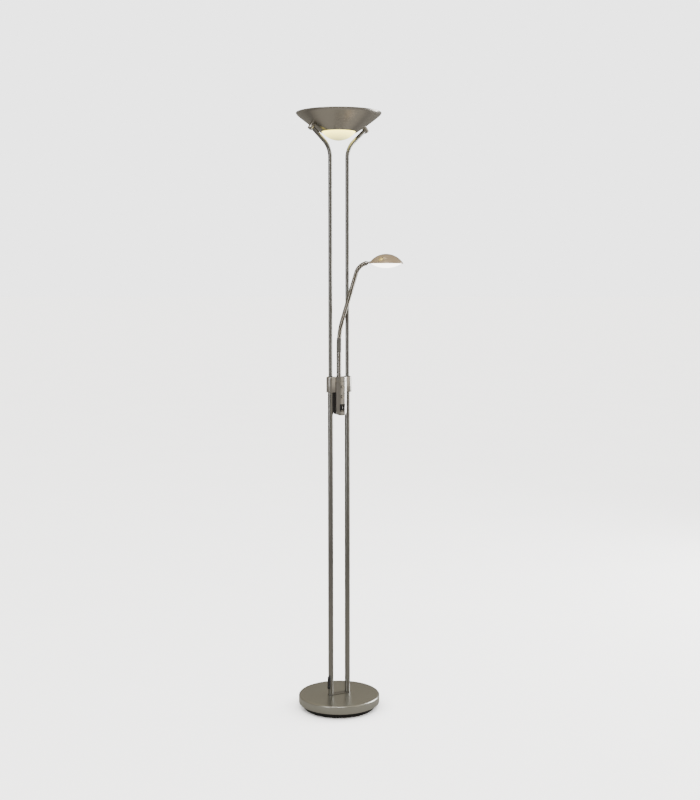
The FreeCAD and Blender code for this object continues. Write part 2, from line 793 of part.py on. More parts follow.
def hose_point(s):
    """The hose's axis at a length s from the sleeve's top: (reach, height, lean from upright)."""
    low = math.radians(hose_low_angle)
    high = math.radians(hose_high_angle)
    low_length = hose_low_radius * low
    high_length = hose_high_radius * high
    reach, z, lean = 0.0, ferrule_top, 0.0
    straight = min(s, hose_first_straight)
    z += straight
    s -= straight
    turn = max(0.0, min(s, low_length)) / hose_low_radius
    reach += hose_low_radius * (1 - math.cos(turn))
    z += hose_low_radius * math.sin(turn)
    lean += turn
    s -= low_length
    straight = max(0.0, min(s, hose_straight))
    reach += straight * math.sin(lean)
    z += straight * math.cos(lean)
    s -= hose_straight
    turn = max(0.0, min(s, high_length)) / hose_high_radius
    reach += hose_high_radius * (math.cos(lean) - math.cos(lean + turn))
    z += hose_high_radius * (math.sin(lean + turn) - math.sin(lean))
    return reach, z, lean + turn


def hose_breaks():
    """Where the hose's axis changes from straight to curved, along its length."""
    low_end = hose_first_straight + hose_low_radius * math.radians(hose_low_angle)
    high_start = low_end + hose_straight
    return hose_first_straight, low_end, high_start, high_start + hose_high_radius * math.radians(hose_high_angle)


def hose_length():
    return hose_breaks()[-1]


def hose_place(s):
    reach, z, lean = hose_point(s)
    return arm_plane(reach, z)


def hose_way(s):
    """The hose's direction."""
    lean = hose_point(s)[2]
    return arm_plane(math.sin(lean), math.cos(lean))


def hose_path(start, end):
    """The wire of straight runs and arcs between two places on the hose."""
    stops = [start] + [b for b in hose_breaks() if start + 1e-6 < b < end - 1e-6] + [end]
    edges = []
    for a, b in zip(stops, stops[1:]):
        if hose_way(a).getAngle(hose_way(b)) < 1e-6:
            edges.append(Part.makeLine(hose_place(a), hose_place(b)))
        else:
            middle = hose_place((a + b) / 2)
            edges.append(Part.Arc(hose_place(a), middle, hose_place(b)).toShape())
    return Part.Wire(edges)


def hose_piece(start, end, ball_end):
    """A length of the hose: a cup over the ball below it, and a ball at its own upper joint."""
    first = start + (hose_cup if start > 0 else 0)
    piece = swept(hose_path(first, end), hose_radius)
    if ball_end:
        piece = piece.fuse(Part.makeSphere(hose_radius, hose_place(end)))
    if start > 0:
        piece = piece.cut(Part.makeSphere(hose_radius + hose_cup_gap, hose_place(start)))
    reach = end + (hose_radius + 1 if ball_end else 0.5)
    bore_path = hose_path(max(first - 0.5, -ferrule_socket - 1), min(reach, hose_length()))
    return piece.cut(swept(bore_path, hose_bore)).removeSplitter()


def arm_ferrule():
    """Polished sleeve on the box, with a threaded spigot below."""
    sleeve = disc(ferrule_radius, box_top, ferrule_top)
    top_edge = lambda e: at_height(ferrule_top)(e)
    sleeve = rounded(sleeve, 1.2, top_edge)
    spigot = disc(spigot_radius, box_top - band_wall - arm_nut_height - 2, box_top + 1)
    socket = disc(hose_radius, ferrule_top - ferrule_socket, ferrule_top + 1)
    wire_way = disc(wire_way_radius, box_top - 20, ferrule_top)
    return sleeve.fuse(spigot).cut([socket, wire_way])


def arm_nut():
    top = box_top - band_wall
    return hexagon(arm_nut_flats, top - arm_nut_height, top).cut(disc(spigot_radius, top - 20, top + 1))


def hose_foot():
    """The hose's first length, pushed into the sleeve."""
    end = hose_joints[0]
    straight = disc(hose_radius, ferrule_top - ferrule_socket, ferrule_top + end)
    ball = Part.makeSphere(hose_radius, hose_place(end))
    way = disc(hose_bore, ferrule_top - 30, ferrule_top + end + hose_radius + 1)
    return straight.fuse(ball).cut(way).removeSplitter()


def end_cone():
    """Cone at the hose's end, with the stud that holds the head."""
    start = hose_place(hose_length())
    way = hose_way(hose_length())
    cone = Part.makeCone(hose_radius + 0.5, cone_tip_radius, cone_length, start, way)
    stud = Part.makeCylinder(stud_radius, cone_length + stud_reach - 1.5, start, way)
    return cone.fuse(stud)


# ---------------------------------------------------------------- reading head
def head_place(shape):
    """Moves a piece turned round the Z axis, with its rim at height 0, to the head's place."""
    reach, z, lean = hose_point(hose_length())
    return shape.translated(arm_plane(reach + head_out, z))


def cap_radius(chord, height):
    return (chord ** 2 + height ** 2) / (2 * height)


def dished(outer_chord, height, wall, upward=True):
    """A turned dome of even wall, its edge at height 0."""
    outer = cap_radius(outer_chord, height)
    inner = outer - wall
    centre = height - outer
    lean_out = math.asin(outer_chord / outer)
    inner_edge = math.sqrt(inner ** 2 - centre ** 2)
    lean_in = math.asin(inner_edge / inner)

    def at(radius, lean):
        return (radius * math.sin(lean), centre + radius * math.cos(lean))

    face = outline(
        at(outer, 0), (at(outer, lean_out / 2), at(outer, lean_out)),
        at(inner, lean_in), (at(inner, lean_in / 2), at(inner, 0)),
    )
    dome = turned(face)
    return dome if upward else dome.mirror(Vector(), Vector(0, 0, 1))


def head_inside(height):
    """The dome's inner radius at a height above its rim."""
    outer = cap_radius(head_radius, head_height)
    return math.sqrt((outer - head_wall) ** 2 - (outer - head_height + height) ** 2)


def stud_hole(extra):
    start = hose_place(hose_length())
    return Part.makeCylinder(stud_radius + extra, 40, start, hose_way(hose_length()))


def stud_socket(extra):
    """The boss in the head that takes the arm's stud."""
    way = hose_way(hose_length())
    start = hose_place(hose_length()) + way * (cone_length + 7 - extra)
    return Part.makeCylinder(socket_radius + extra, stud_reach - 6 + 2 * extra, start, way)


def head_shell():
    """Spun dome with a threaded post welded under its crown."""
    dome = dished(head_radius, head_height, head_wall)
    seat = head_sink_rise + head_sink_thickness
    post = disc(head_post_radius, seat, head_height - head_wall - 0.3 + head_wall / 2)
    shell = dome.fuse(post).cut(disc(head_screw_radius, seat - 1, seat + 9))
    return head_place(shell).cut(stud_hole(seat_gap)).removeSplitter()


def head_sink():
    """Cast heat sink: a plate with a skirt, fins, and the socket for the arm's stud."""
    plate_top = head_sink_rise + head_sink_thickness
    radius = head_inside(plate_top) - 0.3
    skirt = pipe(radius, radius - head_skirt, 1.0 + seat_gap, plate_top)
    plate = disc(radius, head_sink_rise, plate_top).fuse(skirt)
    fin = block(14, 34, -0.7, 0.7, plate_top - 0.5, plate_top + 7)
    sink = plate.fuse(ring_of(fin, 8, 22.5)).cut(disc(head_screw_radius + seat_gap, -5, 40))
    sink = head_place(sink)
    dome = cap_radius(head_radius, head_height) - head_wall - 0.2
    room = head_place(Part.makeSphere(dome, Vector(0, 0, head_height - head_wall - 0.2 - dome)))
    socket = stud_socket(0).common(room)
    floor = head_place(block(-80, 80, -80, 80, -60, 1.0 + seat_gap))
    return sink.fuse(socket.cut(floor)).cut(stud_hole(0)).removeSplitter()


def light_board(radius, bottom, hole):
    return disc(radius, bottom, bottom + light_board_thickness).cut(disc(hole, bottom - 1, bottom + 5))


def chip_ring(count, circle, bottom):
    width, depth, height = chip_size
    chip = block(circle - width / 2, circle + width / 2, -depth / 2, depth / 2, bottom, bottom + height)
    return ring_of(chip, count)


def head_board():
    bottom = head_sink_rise - light_board_thickness
    board = head_place(light_board(head_board_radius, bottom, head_screw_radius + seat_gap))
    return board.cut(stud_socket(0.4))


def head_chip_set():
    bottom = head_sink_rise - light_board_thickness - chip_size[2]
    return [head_place(chip) for chip in chip_ring(head_chips, head_board_radius * 0.62, bottom)]


def head_screw():
    seat = head_sink_rise - light_board_thickness
    screw = disc(head_screw_radius * 1.9, seat - 1.6, seat).fuse(disc(head_screw_radius, seat - 0.5, seat + 12))
    return head_place(screw.cut(block(-2.6, 2.6, -0.4, 0.4, seat - 2, seat - 0.9)))


def head_diffuser():
    """Opal dome in the head's mouth, with a flange that the heat sink holds."""
    radius = head_inside(1.0) - 0.3
    dome = dished(radius - 1.5, head_diffuser_bulge, head_diffuser_wall, upward=False)
    flange = pipe(radius, radius - 4.5, 0, 1.0)
    return head_place(dome.fuse(flange).removeSplitter())


# ---------------------------------------------------------------- bowl and uplight
def bowl():
    """Spun bowl: bottom ring with the glass opening, swelling side, rolled rim."""
    side = bowl_layer(0, bowl_wall, bowl_ring_radius)
    ring = pipe(bowl_ring_radius, bowl_hole_radius, bowl_bottom, bowl_bottom + bowl_wall)
    corner = outline(
        (bowl_ring_radius - 2, bowl_bottom), (bowl_ring_radius, bowl_bottom),
        (bowl_point(bowl_ring_radius, bowl_wall)[0].x, bowl_point(bowl_ring_radius, bowl_wall)[0].z),
        (bowl_ring_radius - 2, bowl_bottom + bowl_wall),
    )
    bead = Part.makeTorus(bowl_radius - bowl_wall / 2, bead_radius, Vector(0, 0, rim_height - bead_radius))
    whole = side.fuse([ring, turned(corner), bead])
    return whole.cut([screw_way(side) for side in (1, -1)]).removeSplitter()


def screw_way(side):
    """The hole for a pin's screw, on one side."""
    seat, outward = pin_axis()
    hole = Part.makeCylinder(pin_screw_radius + seat_gap, 12, seat - outward * 6, outward)
    return hole if side > 0 else mirrored(hole)


def holder_pin():
    """Short pin square to the bowl, hollowed for the tube's end and for its screw."""
    seat, outward = pin_axis()
    pin = Part.makeCylinder(pin_radius, pin_length + 8, seat - outward * 8, outward)
    end = seat + outward * pin_length
    pin = rounded(pin, 1.0, lambda e: abs((e.CenterOfMass - end).dot(outward)) < 0.01)
    pin = pin.cut(turned(outline(
        (0, bowl_bottom), (bowl_ring_radius, bowl_bottom),
        (on_outer(pin_seat_radius - 15), on_outer(pin_seat_radius + 25)), (0, rim_height))))
    thread = Part.makeCylinder(pin_screw_radius, pin_screw_length + 2, seat - outward * 2, outward)
    path = tube_path()
    return pin.cut([thread, swept(path, upper_tube_radius)])


def on_outer(radius):
    point = bowl_point(radius, 0)[0]
    return (point.x, point.z)


def pin_screw():
    """Screw from inside the bowl, through the strap, into the pin."""
    seat, outward = pin_axis()
    under_head = seat - outward * (bowl_wall + strap_thickness + 0.3)
    shank_length = bowl_wall + strap_thickness + pin_screw_length - 0.5
    shank = Part.makeCylinder(pin_screw_radius, shank_length, under_head, outward)
    head = Part.makeCylinder(pin_screw_radius * 1.8, 3, under_head - outward * 3, outward)
    socket = Part.makeCylinder(1.5, 1.8, under_head - outward * 3, outward)
    return shank.fuse(head).cut(socket)


def strap_level():
    """The underside of the strap's flat middle."""
    return bowl_bottom + bowl_wall + gasket_thickness + glass_flange + glass_ring_height


def bowl_strap():
    """Steel strap from pin to pin, cranked down over the glass ring."""
    outer = bowl_wall + 0.1
    wing = bowl_layer(outer, outer + strap_thickness, bowl_ring_radius, rim=False)
    level = strap_level()
    wing = wing.common(block(-strap_reach, strap_reach, -strap_half_width, strap_half_width, level, rim_height))
    reach = inner_radius_at(level, outer + strap_thickness / 2)
    middle = block(-reach, reach, -strap_half_width, strap_half_width, level, level + strap_thickness)
    skin = turned(outline((0, level - 1), *below_depth(level - 1, outer), (0, rim_height)))
    middle = middle.common(skin)
    strap = wing.fuse(middle)
    wire_hole = disc(strap_wire_radius, level - 1, level + 10)
    return strap.cut([screw_way(1), screw_way(-1), wire_hole]).removeSplitter()


def inner_radius_at(z, depth):
    """The radius of the bowl's main arc, drawn in by depth, at a height."""
    centre, arc_radius, shoulder = bowl_arcs()
    return centre.x + math.sqrt((arc_radius - depth) ** 2 - (centre.z - z) ** 2)


def below_depth(z, depth):
    """Outline steps that follow the bowl's inner side from a height up to the shoulder."""
    centre, arc_radius, shoulder = bowl_arcs()
    steps = [(inner_radius_at(z, depth), z)]
    top = shoulder.z
    middle = (z + top) / 2
    steps.append(((inner_radius_at(middle, depth), middle), (inner_radius_at(top, depth), top)))
    return steps


def glass_levels():
    bottom = bowl_bottom + bowl_wall
    return bottom, bottom + gasket_thickness, bottom + gasket_thickness + glass_flange


def glass_gasket():
    bottom, flange, top = glass_levels()
    return pipe(glass_flange_radius, bowl_hole_radius, bottom, flange)


def glass_dome():
    """Opal glass: a flange on the gasket, a short neck and a dome below the bowl."""
    bottom, flange, top = glass_levels()
    radius = bowl_hole_radius - glass_neck_gap
    dome = dished(radius, glass_depth, glass_wall, upward=False).translated(Vector(0, 0, bowl_bottom))
    neck = pipe(radius, radius - glass_wall, bowl_bottom, top)
    rim = pipe(glass_flange_radius, radius - glass_wall, flange, top)
    return dome.fuse([neck, rim]).removeSplitter()


def glass_ring():
    top = glass_levels()[2]
    outer = glass_flange_radius - 0.3
    return pipe(outer, outer - glass_ring_wall, top, top + glass_ring_height)


def light_module():
    """Heat sink on the strap: a core with radial fins between two plates."""
    bottom = strap_level() + strap_thickness
    top = bottom + module_height
    core = disc(module_core_radius, bottom, top)
    plate = disc(module_radius, top - 2.5, top)
    half = fin_thickness / 2
    fin = block(module_core_radius - 1, module_radius - 1, -half, half, bottom, top - 2)
    sink = core.fuse([plate] + ring_of(fin, module_fins))
    return sink.cut(disc(4, bottom - 1, top + 1)).removeSplitter()


def module_top():
    return strap_level() + strap_thickness + module_height


def upper_board():
    return light_board(upper_board_radius, module_top(), 3)


def upper_chip_set():
    bottom = module_top() + light_board_thickness
    inner = chip_ring(upper_chips // 3, upper_board_radius * 0.4, bottom)
    return inner + chip_ring(upper_chips - upper_chips // 3, upper_board_radius * 0.75, bottom)


def module_cover():
    """Opal cap over the upper board."""
    bottom = module_top()
    cap = disc(module_radius, bottom, bottom + cover_disc_height)
    cap = rounded(cap, 3, at_height(bottom + cover_disc_height))
    inside = upper_board_radius + 1.0
    return cap.cut(disc(inside, bottom - 1, bottom + cover_disc_height - cover_disc_wall))


def lower_board():
    bottom = strap_level() - light_board_thickness
    return light_board(lower_board_radius, bottom, strap_wire_radius)


def lower_chip_set():
    bottom = strap_level() - light_board_thickness - chip_size[2]
    return chip_ring(lower_chips, lower_board_radius * 0.7, bottom)


def strap_screw_set():
    """Screws from below, through the lower board and the strap, into the heat sink."""
    seat = strap_level() - light_board_thickness
    screws = []
    for x in strap_screw_places():
        head = disc(2 * strap_screw_radius, seat - 1.8, seat, x)
        screws.append(head.fuse(disc(strap_screw_radius, seat - 0.5, seat + 10, x)))
    return screws


def strap_screw_places():
    return [side * module_core_radius * 0.6 for side in (-1, 1)]


def screw_cuts():
    seat = strap_level()
    return [disc(strap_screw_radius, seat - 10, seat + 12, x) for x in strap_screw_places()]


# ---------------------------------------------------------------- all the pieces
def build():
    save("base_cover", base_cover())
    save("base_weight", base_weight())
    save("plinth", plinth())
    save("plinth_screws", *plinth_screw_set())
    save("floor_pad", floor_pad())
    save("power_supply", power_supply())
    save("terminal_block", terminal_block())
    save("foot_gasket", foot_gasket())
    save("foot_plate", foot_plate())
    save("foot_inserts", foot_insert(), mirrored(foot_insert()))
    save("foot_nuts", foot_nut(), mirrored(foot_nut()))

    for name, piece in (
        ("lower_tube", lower_tube()),
        ("upper_tube", upper_tube()),
    ):
        save(name + "_right", piece)
        save(name + "_left", mirrored(piece))
    for name, piece in (
        ("reducer_sleeves", reducer_sleeve()),
        ("tube_collars", tube_collar()),
        ("holder_pins", holder_pin()),
        ("pin_screws", pin_screw()),
    ):
        save(name, piece, mirrored(piece))
    save("tube_clip", tube_clip())

    save("box_shell", box_shell())
    save("box_back", box_back())
    save("cover_screws", *cover_screw_set())
    save("clamp_screws", *clamp_screw_set())
    save("dimmer_board", dimmer_board())
    save("dimmers", *[dimmer_pot(z) for name, z in knob_heights])
    for name, z in knob_heights:
        save(name + "_shaft", dimmer_shaft(z))
        save(name + "_knob", dimmer_knob(z))
    save("rocker_frame", rocker_frame())
    save("rocker_button", rocker_button())
    save("rocker_axle", rocker_axle())
    save("switch_terminals", *switch_terminals())

    save("arm_sleeve", arm_ferrule())
    save("arm_nut", arm_nut())
    save("hose_foot", hose_foot())
    ends = hose_joints[1:] + (hose_length(),)
    for i, (start, end) in enumerate(zip(hose_joints, ends)):
        save("hose_length_" + str(i + 1), hose_piece(start, end, end < hose_length()))
    save("end_cone", end_cone())

    save("head_shell", head_shell())
    save("head_sink", head_sink())
    save("head_board", head_board())
    save("head_chips", *head_chip_set())
    save("head_screw", head_screw())
    save("head_diffuser", head_diffuser())

    save("bowl", bowl())
    save("bowl_strap", bowl_strap().cut(screw_cuts()))
    save("light_module", light_module().cut(screw_cuts()))
    save("upper_board", upper_board())
    save("module_cover", module_cover())
    save("lower_board", lower_board().cut(screw_cuts()))
    save("light_chips", *(upper_chip_set() + lower_chip_set()))
    save("strap_screws", *strap_screw_set())
    save("glass_gasket", glass_gasket())
    save("glass_dome", glass_dome())
    save("glass_ring", glass_ring())


build()
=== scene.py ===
# %% [markdown]
# # A torchiere floor lamp with a reading light
# Two slim nickel tubes stand on a heavy round base and carry a shallow bowl. A glass dome under the bowl
# and a small head on a bending arm give the light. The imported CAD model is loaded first. Each finer piece
# below is built in the same frame and stands for CAD nodes, and the nodes that stay get a finish.

# %% Load the frame
import math
import bpy
from mathutils import Matrix, Vector


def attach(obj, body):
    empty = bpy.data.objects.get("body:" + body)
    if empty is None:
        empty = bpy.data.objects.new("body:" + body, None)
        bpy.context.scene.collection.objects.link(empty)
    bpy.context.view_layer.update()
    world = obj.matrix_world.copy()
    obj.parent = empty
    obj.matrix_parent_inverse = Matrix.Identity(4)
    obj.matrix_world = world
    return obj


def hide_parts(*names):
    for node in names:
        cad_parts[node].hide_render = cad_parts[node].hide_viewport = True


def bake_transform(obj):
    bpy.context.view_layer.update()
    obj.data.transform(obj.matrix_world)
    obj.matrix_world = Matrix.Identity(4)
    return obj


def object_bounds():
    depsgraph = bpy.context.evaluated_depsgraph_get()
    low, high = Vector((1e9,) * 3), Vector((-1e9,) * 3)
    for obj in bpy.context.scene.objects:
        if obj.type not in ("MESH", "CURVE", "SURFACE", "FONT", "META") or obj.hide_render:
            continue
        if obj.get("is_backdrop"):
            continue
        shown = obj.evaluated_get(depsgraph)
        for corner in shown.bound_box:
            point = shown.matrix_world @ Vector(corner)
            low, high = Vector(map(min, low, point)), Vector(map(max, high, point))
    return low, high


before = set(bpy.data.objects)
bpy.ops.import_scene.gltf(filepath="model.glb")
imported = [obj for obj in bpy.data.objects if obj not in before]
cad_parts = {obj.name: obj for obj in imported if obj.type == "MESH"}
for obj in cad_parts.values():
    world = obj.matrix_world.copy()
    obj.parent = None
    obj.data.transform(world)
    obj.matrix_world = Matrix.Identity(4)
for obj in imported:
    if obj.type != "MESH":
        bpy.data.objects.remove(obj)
cad_low, cad_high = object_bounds()
print("the lamp is", round(cad_high.z, 3), "m tall")

# %% [markdown]
# Sizes on a drawing of a lamp are millimetres, while Blender counts in metres, so the lamp's sizes here are
# millimetres and MM turns them over. The camera, the floor and the lights are placed in metres. Both tubes
# stand at the same distance from the middle. Operators act on whatever is selected, so a new piece always
# starts with nothing selected.

# %% Millimetres, and an empty selection
MM = 0.001
TUBE_AXIS = 28.75


def nothing_selected():
    if bpy.context.mode != "OBJECT":
        bpy.ops.object.mode_set(mode="OBJECT")
    bpy.ops.object.select_all(action="DESELECT")


nothing_selected()

# %% [markdown]
# ## The camera
# The photograph was taken from about 3.6 m away, a little lower than the reading head, turned 28 degrees to
# the left of the control box, with the lens tipped a little down. A long lens keeps the tubes upright.

# %% Camera
CAMERA_AWAY = 3.632
CAMERA_HEIGHT = 1.2817
CAMERA_TIP = 0.0915
CAMERA_PAN = 0.0092
camera_data = bpy.data.cameras.new("camera")
camera = bpy.data.objects.new("camera", camera_data)
bpy.context.scene.collection.objects.link(camera)
turn = math.radians(28)
camera.location = (-CAMERA_AWAY * math.sin(turn), -CAMERA_AWAY * math.cos(turn), CAMERA_HEIGHT)
camera.rotation_euler = (math.pi / 2 - CAMERA_TIP, 0, -turn - CAMERA_PAN)
camera_data.sensor_width = 36
camera_data.lens = 54.42
bpy.context.scene.camera = camera
print("camera at", [round(c, 3) for c in camera.location])

# %% [markdown]
# ## Tools for drawing
# Most of a lamp is turned: spun steel, turned brass, blown glass. By hand one would draw half of the
# outline, point after point, and spin it. The pen does just that: it keeps the last point selected, and
# line and arc extrude it or spin it to the next place. One outline gives clean, even rings of faces.

# %% The pen
class Pen:
    """Draws an outline in the plane of X and Z, in millimetres."""

    def __init__(self, name, x, z):
        nothing_selected()
        bpy.ops.mesh.primitive_plane_add(size=MM)
        self.piece = bpy.context.object
        self.piece.name = self.piece.data.name = name
        bpy.ops.object.mode_set(mode="EDIT")
        bpy.ops.mesh.select_mode(type="VERT")
        bpy.ops.mesh.merge(type="CENTER")
        bpy.ops.transform.translate(value=(x * MM, 0, z * MM))
        self.at = Vector((x, 0, z))

    def line(self, *points):
        for x, z in points:
            step = Vector((x, 0, z)) - self.at
            bpy.ops.mesh.extrude_region_move(TRANSFORM_OT_translate={"value": step * MM})
            self.at += step
        return self

    def arc(self, x, z, degrees, steps):
        """Spins the last point about (x, z), anticlockwise for a positive angle."""
        centre = Vector((x, 0, z))
        bpy.ops.mesh.spin(steps=steps, angle=math.radians(degrees), center=centre * MM, axis=(0, 1, 0))
        self.at = centre + Matrix.Rotation(-math.radians(degrees), 3, "Y") @ (self.at - centre)
        return self

    def turned(self, steps):
        """Spins the outline round the Z axis, and closes its seam and its poles."""
        bpy.ops.mesh.select_all(action="SELECT")
        bpy.ops.mesh.spin(steps=steps, angle=2 * math.pi, center=(0, 0, 0), axis=(0, 0, 1))
        bpy.ops.mesh.select_all(action="SELECT")
        bpy.ops.mesh.remove_doubles(threshold=0.005 * MM)
        bpy.ops.mesh.normals_make_consistent(inside=False)
        bpy.ops.object.mode_set(mode="OBJECT")
        return self.piece


print("the pen is ready")

# %% [markdown]
# A piece is often drawn upright at the origin and then put in its place. Because the export expects every
# object at the origin, the place is applied to the mesh at once. Copies are made the same way, each with
# its own mesh, and a mirrored copy gets its faces turned outwards again.

# %% Placing, copying and joining
def alone(piece):
    nothing_selected()
    piece.select_set(True)
    bpy.context.view_layer.objects.active = piece


def placed(piece, matrix):
    """Puts a piece in its place, in its mesh. The matrix is in millimetres."""
    alone(piece)
    matrix = matrix.copy()
    matrix.translation *= MM
    piece.matrix_world = matrix
    bpy.ops.object.transform_apply(location=True, rotation=True, scale=True)
    return piece


def shifted(piece, x, y, z):
    return placed(piece, Matrix.Translation((x, y, z)))


def copied(piece, name):
    alone(piece)
    bpy.ops.object.duplicate()
    twin = bpy.context.object
    twin.name = twin.data.name = name
    return twin


def mirrored(piece, name):
    """A copy on the other side of the lamp."""
    twin = copied(piece, name)
    bpy.ops.object.mode_set(mode="EDIT")
    bpy.ops.mesh.select_all(action="SELECT")
    bpy.ops.transform.resize(value=(-1, 1, 1), center_override=(0, 0, 0))
    bpy.ops.mesh.flip_normals()
    bpy.ops.object.mode_set(mode="OBJECT")
    return twin


def joined(first, *others):
    nothing_selected()
    for piece in others:
        piece.select_set(True)
    first.select_set(True)
    bpy.context.view_layer.objects.active = first
    bpy.ops.object.join()
    return first


print("placing tools are ready")

# %% [markdown]
# In edit mode faces, edges and points are picked by their place, because the order in which Blender
# numbers them means nothing. Small metal edges are never sharp: a narrow bevel catches the light.

# %% Picking and bevelling
def pick(piece, test, kind="VERT"):
    """Selects, in edit mode, the points, edges or faces whose middle passes the test, in millimetres."""
    alone(piece)
    bpy.ops.object.mode_set(mode="EDIT")
    bpy.ops.mesh.select_mode(type=kind)
    bpy.ops.mesh.select_all(action="DESELECT")
    bpy.ops.object.mode_set(mode="OBJECT")
    mesh = piece.data
    points = [v.co / MM for v in mesh.vertices]
    if kind == "VERT":
        for v in mesh.vertices:
            v.select = test(points[v.index])
    else:
        for part in mesh.edges if kind == "EDGE" else mesh.polygons:
            corners = [points[i] for i in part.vertices]
            part.select = test(sum(corners, Vector()) / len(corners)) and (
                kind == "FACE" or all(test(c) for c in corners))
    bpy.ops.object.mode_set(mode="EDIT")


def applied(piece, kind, **settings):
    """Adds a modifier, sets it and applies it."""
    alone(piece)
    modifier = piece.modifiers.new(kind.lower(), kind)
    for name, value in settings.items():
        setattr(modifier, name, value)
    bpy.ops.object.modifier_apply(modifier=modifier.name)
    return piece


def eased(piece, width, segments, degrees=35):
    """Rounds every edge that is sharper than an angle."""
    return applied(piece, "BEVEL", width=width * MM, segments=segments, limit_method="ANGLE",
                   angle_limit=math.radians(degrees), harden_normals=False)


def smooth(piece, degrees):
    alone(piece)
    bpy.ops.object.shade_smooth_by_angle(angle=math.radians(degrees))
    return piece


print("picking tools are ready")

# %% [markdown]
# Every piece ends the same way: it gets its finish, it is tied to the part of the lamp that it moves with,
# and it names the CAD nodes that it stands for, which are then hidden.

# %% Finishing a piece
def fitted(piece, finish, slot, body, *nodes):
    piece.data.materials.clear()
    piece.data.materials.append(finish)
    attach(piece, body)
    if nodes:
        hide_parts(*nodes)
    print(piece.name, "has", len(piece.data.polygons), "faces and rides on", body)


print("finishing is ready")

# %% [markdown]
# ## Finishes
# Satin nickel is a metal with a soft, slightly brown grey. It is brushed, so fine lines run along it:
# noise that is stretched in one direction gives the lines, and drives the colour, the roughness and a very
# low bump. All patterns read Object coordinates, so they stay put when the lamp is seen from elsewhere.

# %% A metal with a grain
def new_finish(name):
    finish = bpy.data.materials.new(name)
    finish.use_nodes = True
    nodes = finish.node_tree.nodes
    shader = next(n for n in nodes if n.type == "BSDF_PRINCIPLED")
    place = nodes.new("ShaderNodeTexCoord").outputs["Object"]
    return finish, nodes, finish.node_tree.links, shader, place


def ramp(nodes, links, source, *stops):
    """A colour ramp: each stop is a place and a colour."""
    node = nodes.new("ShaderNodeValToRGB")
    links.new(source, node.inputs[0])
    elements = node.color_ramp.elements
    while len(elements) < len(stops):
        elements.new(0.5)
    for element, (where, colour) in zip(elements, stops):
        element.position = where
        element.color = (*colour, 1)
    return node.outputs[0]


def spread(nodes, links, source, low, high):
    """Stretches a value from 0..1 to low..high."""
    node = nodes.new("ShaderNodeMapRange")
    links.new(source, node.inputs["Value"])
    node.inputs["To Min"].default_value = low
    node.inputs["To Max"].default_value = high
    return node.outputs["Result"]


def noise(nodes, links, place, scale, stretch=(1, 1, 1), detail=4):
    mapping = nodes.new("ShaderNodeMapping")
    mapping.inputs["Scale"].default_value = stretch
    links.new(place, mapping.inputs["Vector"])
    node = nodes.new("ShaderNodeTexNoise")
    node.inputs["Scale"].default_value = scale
    node.inputs["Detail"].default_value = detail
    links.new(mapping.outputs["Vector"], node.inputs["Vector"])
    return node.outputs["Fac"]


def bump(nodes, links, shader, height, distance):
    node = nodes.new("ShaderNodeBump")
    node.inputs["Distance"].default_value = distance * MM
    links.new(height, node.inputs["Height"])
    links.new(node.outputs["Normal"], shader.inputs["Normal"])


def round_grain(nodes, links, place, centre):
    """Coordinates for lines that run round an upright axis: the distance from it, and the height."""
    moved = nodes.new("ShaderNodeVectorMath")
    moved.operation = "SUBTRACT"
    moved.inputs[1].default_value = Vector(centre) * MM
    links.new(place, moved.inputs[0])
    parts = nodes.new("ShaderNodeSeparateXYZ")
    links.new(moved.outputs[0], parts.inputs[0])
    flat = nodes.new("ShaderNodeCombineXYZ")
    links.new(parts.outputs[0], flat.inputs[0])
    links.new(parts.outputs[1], flat.inputs[1])
    radius = nodes.new("ShaderNodeVectorMath")
    radius.operation = "LENGTH"
    links.new(flat.outputs[0], radius.inputs[0])
    both = nodes.new("ShaderNodeCombineXYZ")
    links.new(radius.outputs["Value"], both.inputs[0])
    links.new(parts.outputs[2], both.inputs[1])
    return both.outputs[0]


def brushed(name, tone, rough, grain=(1, 1, 0.02), lines=900, height=0.0006, centre=None):
    """A brushed metal round one tone. With a centre, its lines run round an upright axis there."""
    finish, nodes, links, shader, place = new_finish(name)
    shader.inputs["Metallic"].default_value = 1.0
    streak_place = round_grain(nodes, links, place, centre) if centre else place
    streaks = noise(nodes, links, streak_place, lines, (1, 1, 1) if centre else grain, 3)
    clouds = noise(nodes, links, place, 14, detail=3)
    wear = nodes.new("ShaderNodeMix")
    wear.data_type = "FLOAT"
    wear.inputs["Factor"].default_value = 0.55
    links.new(streaks, wear.inputs["A"])
    links.new(clouds, wear.inputs["B"])
    dark, light = [0.97 * c for c in tone], [1.03 * c for c in tone]
    shades = ramp(nodes, links, wear.outputs["Result"], (0.32, dark), (0.68, light))
    links.new(shades, shader.inputs["Base Color"])
    links.new(spread(nodes, links, wear.outputs["Result"], *rough), shader.inputs["Roughness"])
    bump(nodes, links, shader, streaks, height)
    return finish


TUBE_TONE = (0.2767, 0.2750, 0.2625)
BASE_TONE = (0.4432, 0.4468, 0.4112)
BOWL_TONE = (0.4098, 0.3903, 0.3546)
HEAD_TONE = (0.8677, 0.7225, 0.5546)
BOX_TONE = (0.4700, 0.4550, 0.4300)
LAMP_MIDDLE = (0, 0, 0)
HEAD_MIDDLE = (103.2, -103.2, 0)
tube_nickel = brushed("satin nickel on the tubes", TUBE_TONE, (0.27, 0.30), height=0.0002)
base_nickel = brushed("satin nickel on the base", BASE_TONE, (0.24, 0.36), centre=LAMP_MIDDLE)
bowl_nickel = brushed("polished nickel on the bowl", BOWL_TONE, (0.26, 0.30), height=0.0002,
                      centre=LAMP_MIDDLE)
head_nickel = brushed("satin nickel on the reading head", HEAD_TONE, (0.24, 0.32), height=0.0003,
                      centre=HEAD_MIDDLE)
box_nickel = brushed("satin nickel on the control box", BOX_TONE, (0.27, 0.35), grain=(0.03, 0.03, 1),
                     lines=700)
print("five nickel finishes")

